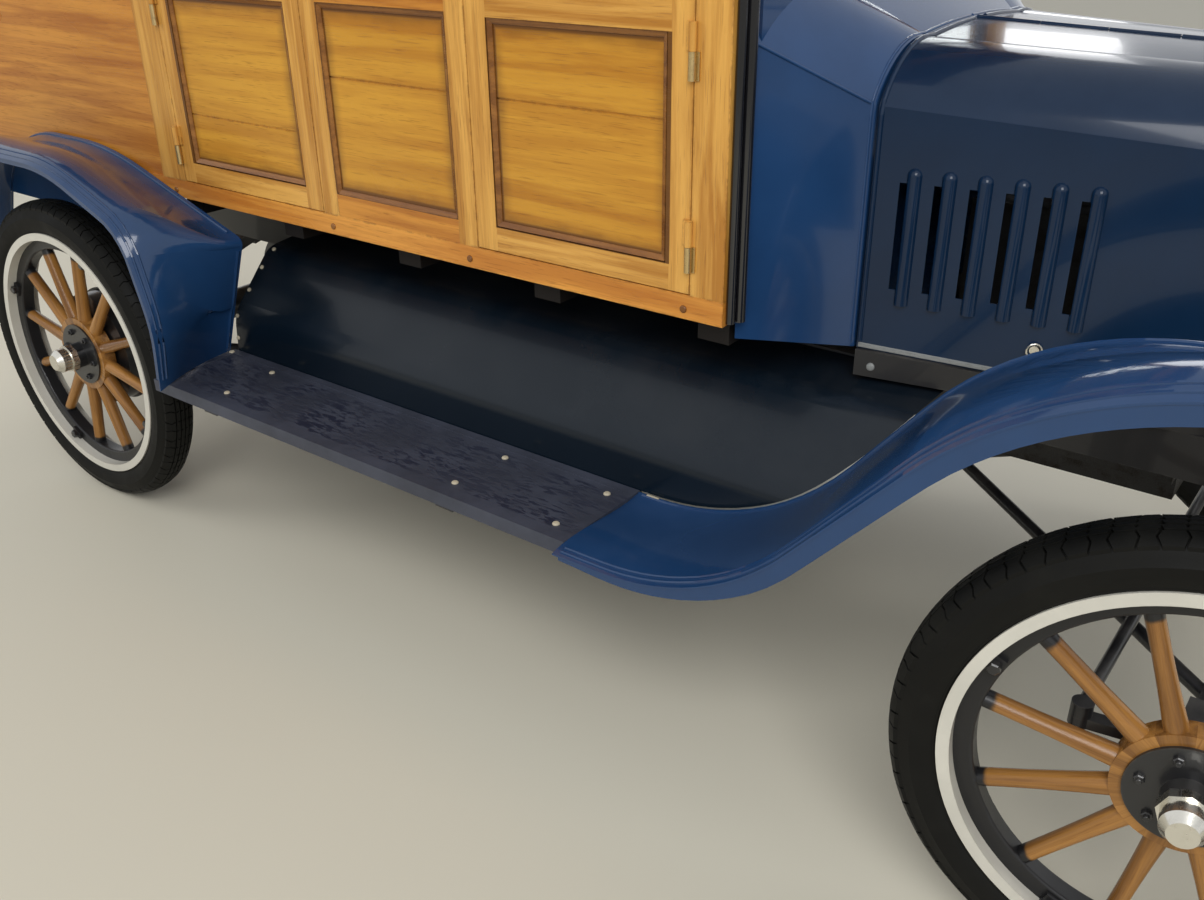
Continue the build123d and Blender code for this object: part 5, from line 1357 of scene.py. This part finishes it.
@dataclass
class Joinery:
    """Mouldings, bolts and latches of the wooden body."""

    half_width: float = 0.575
    inner_face: float = 0.545
    recess: float = 0.007
    sill_top: float = 0.828
    side_height: float = 0.472
    side_foot: float = 0.045
    side_head: float = 0.075
    side_middle: float = -0.08
    side_width: float = 0.326
    foot_rail: float = 0.046
    head_rail: float = 0.078
    stile: float = 0.048
    rib: float = 0.0085
    shy: float = 0.0008
    latch_in: float = 0.024
    latch_down: float = 0.105
    bolt_height: float = 0.8035
    bolts: tuple[float, ...] = (0.5755, 0.1075, -0.2675, -0.8015, -1.81)

    def mould(self, name: str, body: str, places: list[tuple[Matrix, float, float]]) -> None:
        """Builds the mouldings of one body's panels.

        Args:
            name: the panels' name.
            body: the body they ride on.
            places: for each panel its middle, width and height.
        """
        # The mouldings take the darkened wood: painted shade.
        with Piece(f"panel_moulding_{name}", "moulding_wood_painted_shade", body, "panel_wood", 30) as work:
            for place, width, height in places:
                add_moulding(work, place, width, height, self.rib, self.recess - self.shy)

    def build(self) -> None:
        """Builds the mouldings of the doors and middle panels, the latches and the sill's bolts."""
        floor = self.half_width - self.recess
        for end, low_x, high_x in (("front", 0.132, 0.585), ("rear", -0.756, -0.292)):
            for name, side in (("left", 1), ("right", -1)):
                body = f"door_{end}_{name}"
                low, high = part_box(body)
                height = high.z - low.z - self.foot_rail - self.head_rail
                middle = outward(side, (low_x + high_x) / 2, floor, low.z + self.foot_rail + height / 2)
                self.mould(f"{end}_{name}", body, [(middle, high_x - low_x - 2 * self.stile, height)])
                edge, inwards = (low_x, 1) if end == "front" else (high_x, -1)
                self.latch(body, side, edge, inwards, high.z)
        height = self.side_height - self.side_foot - self.side_head
        middle_z = self.sill_top + self.side_foot + height / 2
        middles = [outward(side, self.side_middle, floor, middle_z) for side in (1, -1)]
        self.mould("middle", "root", [(middle, self.side_width, height) for middle in middles])
        with Piece("sill_bolts", "moulding_wood_painted_shade", slot="brass") as work:
            for side in (1, -1):
                for x in self.bolts:
                    place = outward(side, x, self.half_width, self.bolt_height)
                    add_bolt(work, place, 0.0065, 0.0028, 12, True)

    def latch(self, body: str, side: int, edge: float, inwards: int, top: float) -> None:
        """Sets a turned latch handle with its plate on the inside of a door's stile.

        Args:
            body: the door.
            side: the car's side, 1 for its left.
            edge: where the door's free edge lies along the car.
            inwards: the way from there to the door's middle, 1 or -1.
            top: the door's upper edge.
        """
        place = outward(-side, edge + inwards * self.latch_in, -self.inner_face, top - self.latch_down)
        turns = ((0.0, 0.0, 0.0195), (0.02, -0.001, 0.0215), (0.045, -0.003, 0.021), (0.062, -0.006, 0.0185))
        with Piece(f"latch_handle_{body}", "nickel", body, smooth=50) as work:
            add_disc(work, place, (0.0165, 0.0155), -0.001, 0.0025, 24)
            add_disc(work, place, (0.006, 0.0052), 0.002, 0.02, 14)
            before = set(work.verts)
            add_rod(work, [(side * inwards * x, y, z) for x, y, z in turns], 0.0048, 10)
            bmesh.ops.transform(work, matrix=place, verts=[v for v in work.verts if v not in before])


@dataclass
class LampRims:
    """Plated rings round both headlamps' lenses: a broad one, and a thin one behind it."""

    apart: float = 0.35
    broad: Limits = (0.1045, 0.0055)
    thin: Limits = (0.111, 0.0035)
    behind: float = 0.006

    def build(self) -> None:
        """Lays the rings round the lenses' front."""
        low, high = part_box("lamp_lenses")
        with Piece("lamp_rims", "nickel", smooth=50) as work:
            for side in (-1, 1):
                place = facing((high.x - 0.002, side * self.apart, (low.z + high.z) / 2), (1, 0, 0))
                add_ring(work, place, *self.broad, 56, 10)
                add_ring(work, place @ Matrix.Translation((0, 0, -self.behind)), *self.thin, 56, 8)


@dataclass(frozen=True)
class SoftBox:
    """A square lamp: its place, what it faces, its side, its power, and whether gloss shows it."""

    name: str
    place: Point
    target: Point
    size: float
    power: float
    shown: bool

    def hang(self) -> None:
        """Makes the lamp."""
        data = bpy.data.lights.new(self.name, "AREA")
        data.shape, data.size, data.energy = "SQUARE", self.size, self.power
        lamp = linked(self.name, data)
        lamp.location = self.place
        aim = Vector(self.target) - Vector(self.place)
        lamp.rotation_euler = aim.to_track_quat("-Z", "Y").to_euler()
        lamp.visible_glossy = self.shown


class Studio:
    """Floor, light and the camera at the photograph's angle."""

    camera_place = (1.5147, -2.0163, 1.4270)
    forward = (-0.54287, 0.70596, -0.45487)
    right = (0.79670, 0.60424, -0.01305)
    lens = 33.66
    lamps = (
        SoftBox("key", (3.2, -4.2, 4.2), (0.2, 0, 0.7), 3.0, 190, True),
        SoftBox("fill", (-4.5, -3.5, 3.0), (-0.5, 0, 0.8), 3.0, 80, False),
        SoftBox("back", (-1.5, 4.5, 3.8), (0, 0, 0.8), 3.0, 90, True),
        SoftBox("nose", (5.0, 2.0, 2.6), (1.2, 0, 0.8), 2.0, 50, False),
    )

    def build(self) -> None:
        """Builds the floor, the world, the lamps and the camera."""
        self.floor()
        self.world()
        for lamp in self.lamps:
            lamp.hang()
        self.camera()

    def floor(self) -> None:
        """Lays a plain pale floor."""
        work = bmesh.new()
        bmesh.ops.create_grid(work, x_segments=2, y_segments=2, size=40)
        mesh = as_mesh(work, "studio_floor")
        mesh.materials.append(Coat("floor_pale", Roughness=0.6, Base_Color=(0.7, 0.66, 0.54)).material)
        made = linked("studio_floor", mesh)

    def world(self) -> None:
        """Gives a soft even light, and a pale backdrop for camera, gloss and glass."""
        world = bpy.context.scene.world = bpy.data.worlds.new("studio")
        world.use_nodes = True
        world.node_tree.nodes.clear()
        g = Graph(world.node_tree)
        path = g.node("LightPath").outputs
        seen = g.math("MAXIMUM", path["Is Glossy Ray"], path["Is Transmission Ray"])
        seen = g.math("MAXIMUM", path["Is Camera Ray"], seen)
        light = g.node("Background", {"Color": (0.95, 0.97, 1.0), "Strength": 0.42})
        shown = g.node("Background", {"Color": (0.86, 0.87, 0.88), "Strength": 1.0})
        both = g.node("MixShader", {0: seen, 1: light.outputs[0], 2: shown.outputs[0]})
        g.node("OutputWorld", {0: both.outputs[0]})

    def camera(self) -> None:
        """Sets the camera where the photograph was taken."""
        data = bpy.data.cameras.new("camera")
        data.lens, data.sensor_width = self.lens, 36
        made = linked("camera", data)
        right, back = Vector(self.right), -Vector(self.forward)
        made.matrix_world = Matrix.Translation(self.camera_place) @ framed_by(right, back.cross(right), back)
        bpy.context.scene.camera = made
        bpy.context.scene.view_settings.view_transform = "Standard"


class Wagon:
    """The whole car: its finishes, and the classes that add its pieces."""

    own_finishes = {
        "body_posts": "oak_upright",
        "body_bolsters": "sill_and_bolsters",
        "roof_frame": "oak_roof",
        "roof_cover": "deck_wood",
        "seat_boxes": "oak_across",
        # The hood and aprons get darker copies of the body's blue: painted shade.
        "hood_left": "hood_blue_painted_shade",
        "hood_right": "hood_blue_painted_shade",
        "splash_aprons": "apron_blue_painted_shade",
    }

    def mix_finishes(self) -> None:
        """Makes every material that more than one piece shares."""
        steel = (0.09, 0.085, 0.08)
        rows = [
            Enamel("body_blue", (0.012, 0.048, 0.138), (0.03, 0.06, 0.13), 0.13, 0.35, 0.02, 0.15, 0.02, 0.4),
            # The body's blue made darker on the hood: painted shade for the dark surroundings its gloss reflects.
            Enamel("hood_blue_painted_shade", (0.004, 0.019, 0.052), (0.025, 0.045, 0.09), 0.17, 0.25, 0.02, 0.2, 0.02, 0.24),
            # The body's blue made much darker on the aprons: painted shade for the dark surroundings they reflect.
            Enamel(
                "apron_blue_painted_shade", (0.0035, 0.0085, 0.0155), (0.02, 0.03, 0.05),
                0.24, 0.1, 0.03, 0.1, 0.02, 0.35, 0.04,
            ),
            Enamel("strip_grey", (0.25, 0.26, 0.255), (0.06, 0.06, 0.07), 0.4, 0.1, 0.2, 0.6, gloss=0.3),
            Enamel("bolt_cream", (0.56, 0.50, 0.37), (0.25, 0.2, 0.14), 0.42, 0.1, 0.1, 0.5, gloss=0.3),
            Enamel("chassis_black", (0.012, 0.012, 0.014), steel, 0.34, 0.2, 0.3, 0.35),
            Enamel("lamp_black", (0.008, 0.008, 0.01), steel, 0.12, 0.6, 0.08, 0.2),
            Enamel("hub_black", (0.012, 0.012, 0.013), steel, 0.3, 0.3, 0.1, 0.4),
            Enamel("core_black", (0.01, 0.01, 0.01), steel, 0.5, 0.0, 0.25, 0.3),
            Enamel("rim_silver", (0.62, 0.6, 0.53), (0.3, 0.27, 0.2), 0.3, 0.3, 0.1, 0.25),
            Enamel("wheel_grip", (0.02, 0.011, 0.007), (0.08, 0.04, 0.02), 0.15, 0.6, 0.05, 0.3),
            Metal("cast_iron", (0.05, 0.05, 0.05), 0.55, (0.05, 0.04, 0.032), 0.7),
            Metal("nickel", (0.72, 0.7, 0.64), 0.2, (0.4, 0.36, 0.28), 0.4),
            Metal("brass", (0.62, 0.46, 0.22), 0.32, (0.2, 0.13, 0.06), 0.6),
            Timber("oak", (0.78, 0.35, 0.06), (0.5, 0.175, 0.024)),
            Timber("oak_upright", HONEY, HONEY_DARK, Grain.UPRIGHT),
            Timber("oak_across", AMBER, AMBER_DARK, Grain.ACROSS, wear=0.3),
            CrossTimber("oak_roof", HONEY, HONEY_DARK),
            TailTimber("sill_and_bolsters", AMBER, AMBER_DARK),
            # A darker copy of the body's wood on the panel mouldings: painted shade round the sunk panels.
            Timber("moulding_wood_painted_shade", (0.34, 0.14, 0.028), (0.17, 0.06, 0.011), varnish=0.3),
            Timber("floor_wood", (0.3, 0.19, 0.1), (0.16, 0.09, 0.045), varnish=0.1, streaks=0.8),
            Timber("deck_wood", (0.42, 0.22, 0.07), (0.25, 0.11, 0.03), varnish=0.3, streaks=0.8),
            Rubber("tyre"),
            Hide("roof_cloth", (0.014, 0.014, 0.015), 420, 0.55, 0.35, 1.25),
            Hide("seat_leather", (0.016, 0.013, 0.011), 300, 0.36, 0.25),
            TreadPaint("board_paint"),
            ClearGlass("clear_glass"),
            ClearGlass("lens_glass", (0.97, 0.98, 0.95), 14.0),
        ]
        FINISHES.update((row.name, row.make()) for row in rows)

    def coat_nodes(self) -> None:
        """Gives every CAD node its finish."""
        slots = {row["node"]: row["material_slot"] for row in frame["record"]["subparts"]}
        for name, node in frame["nodes"].items():
            node.data.materials.clear()
            finish = FINISHES.get(self.own_finishes.get(name, slots[name]))
            node.data.materials.append(finish or self.placed(name).make())

    def placed(self, name: str) -> Timber:
        """The finish of a door, the tailgate, the side panels or a wheel's timber, which knows its place."""
        title = name + "_finish"
        if name.startswith("wheel_wood"):
            wheel = Wheel(name.removeprefix("wheel_wood_"))
            hub = {"centre": tuple(wheel.centre), "turn": wheel.turn, "rest": wheel.rest}
            return SpokeTimber(title, (0.42, 0.2, 0.05), (0.16, 0.066, 0.016), **hub)
        if name == "side_panels":
            panel = {"centres": (-0.08,), "half": 0.165, "rail_half": 9, "low": 0.873, "high": 1.226}
            return FramedTimber(title, AMBER, AMBER_DARK, **panel)
        low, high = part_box(name)
        if name == "tailgate":
            half = (high.y - low.y) / 4
            panel = {"centres": (-half, half), "half": half - 0.024, "rail_half": half, "across_y": True}
        else:
            half = (high.x - low.x) / 2 - 0.0465
            panel = {"centres": ((low.x + high.x) / 2,), "half": half, "rail_half": half}
        return FramedTimber(title, HONEY, HONEY_DARK, **panel)

    def build(self) -> None:
        """Coats the CAD nodes and adds the pieces in order."""
        self.mix_finishes()
        self.coat_nodes()
        for corner in ("front_left", "front_right", "rear_left", "rear_right"):
            Wheel(corner).build()
        Seats().build()
        RoofCloth().build()
        for side in (1, -1):
            FenderTrim(side).build()
            HoodTrim(side).build()
        Joinery().build()
        LampRims().build()


def main() -> None:
    """Builds the car and the studio."""
    logging.basicConfig(level=logging.INFO, format="%(message)s")
    Wagon().build()
    Studio().build()


if __name__ == "__main__":
    main()
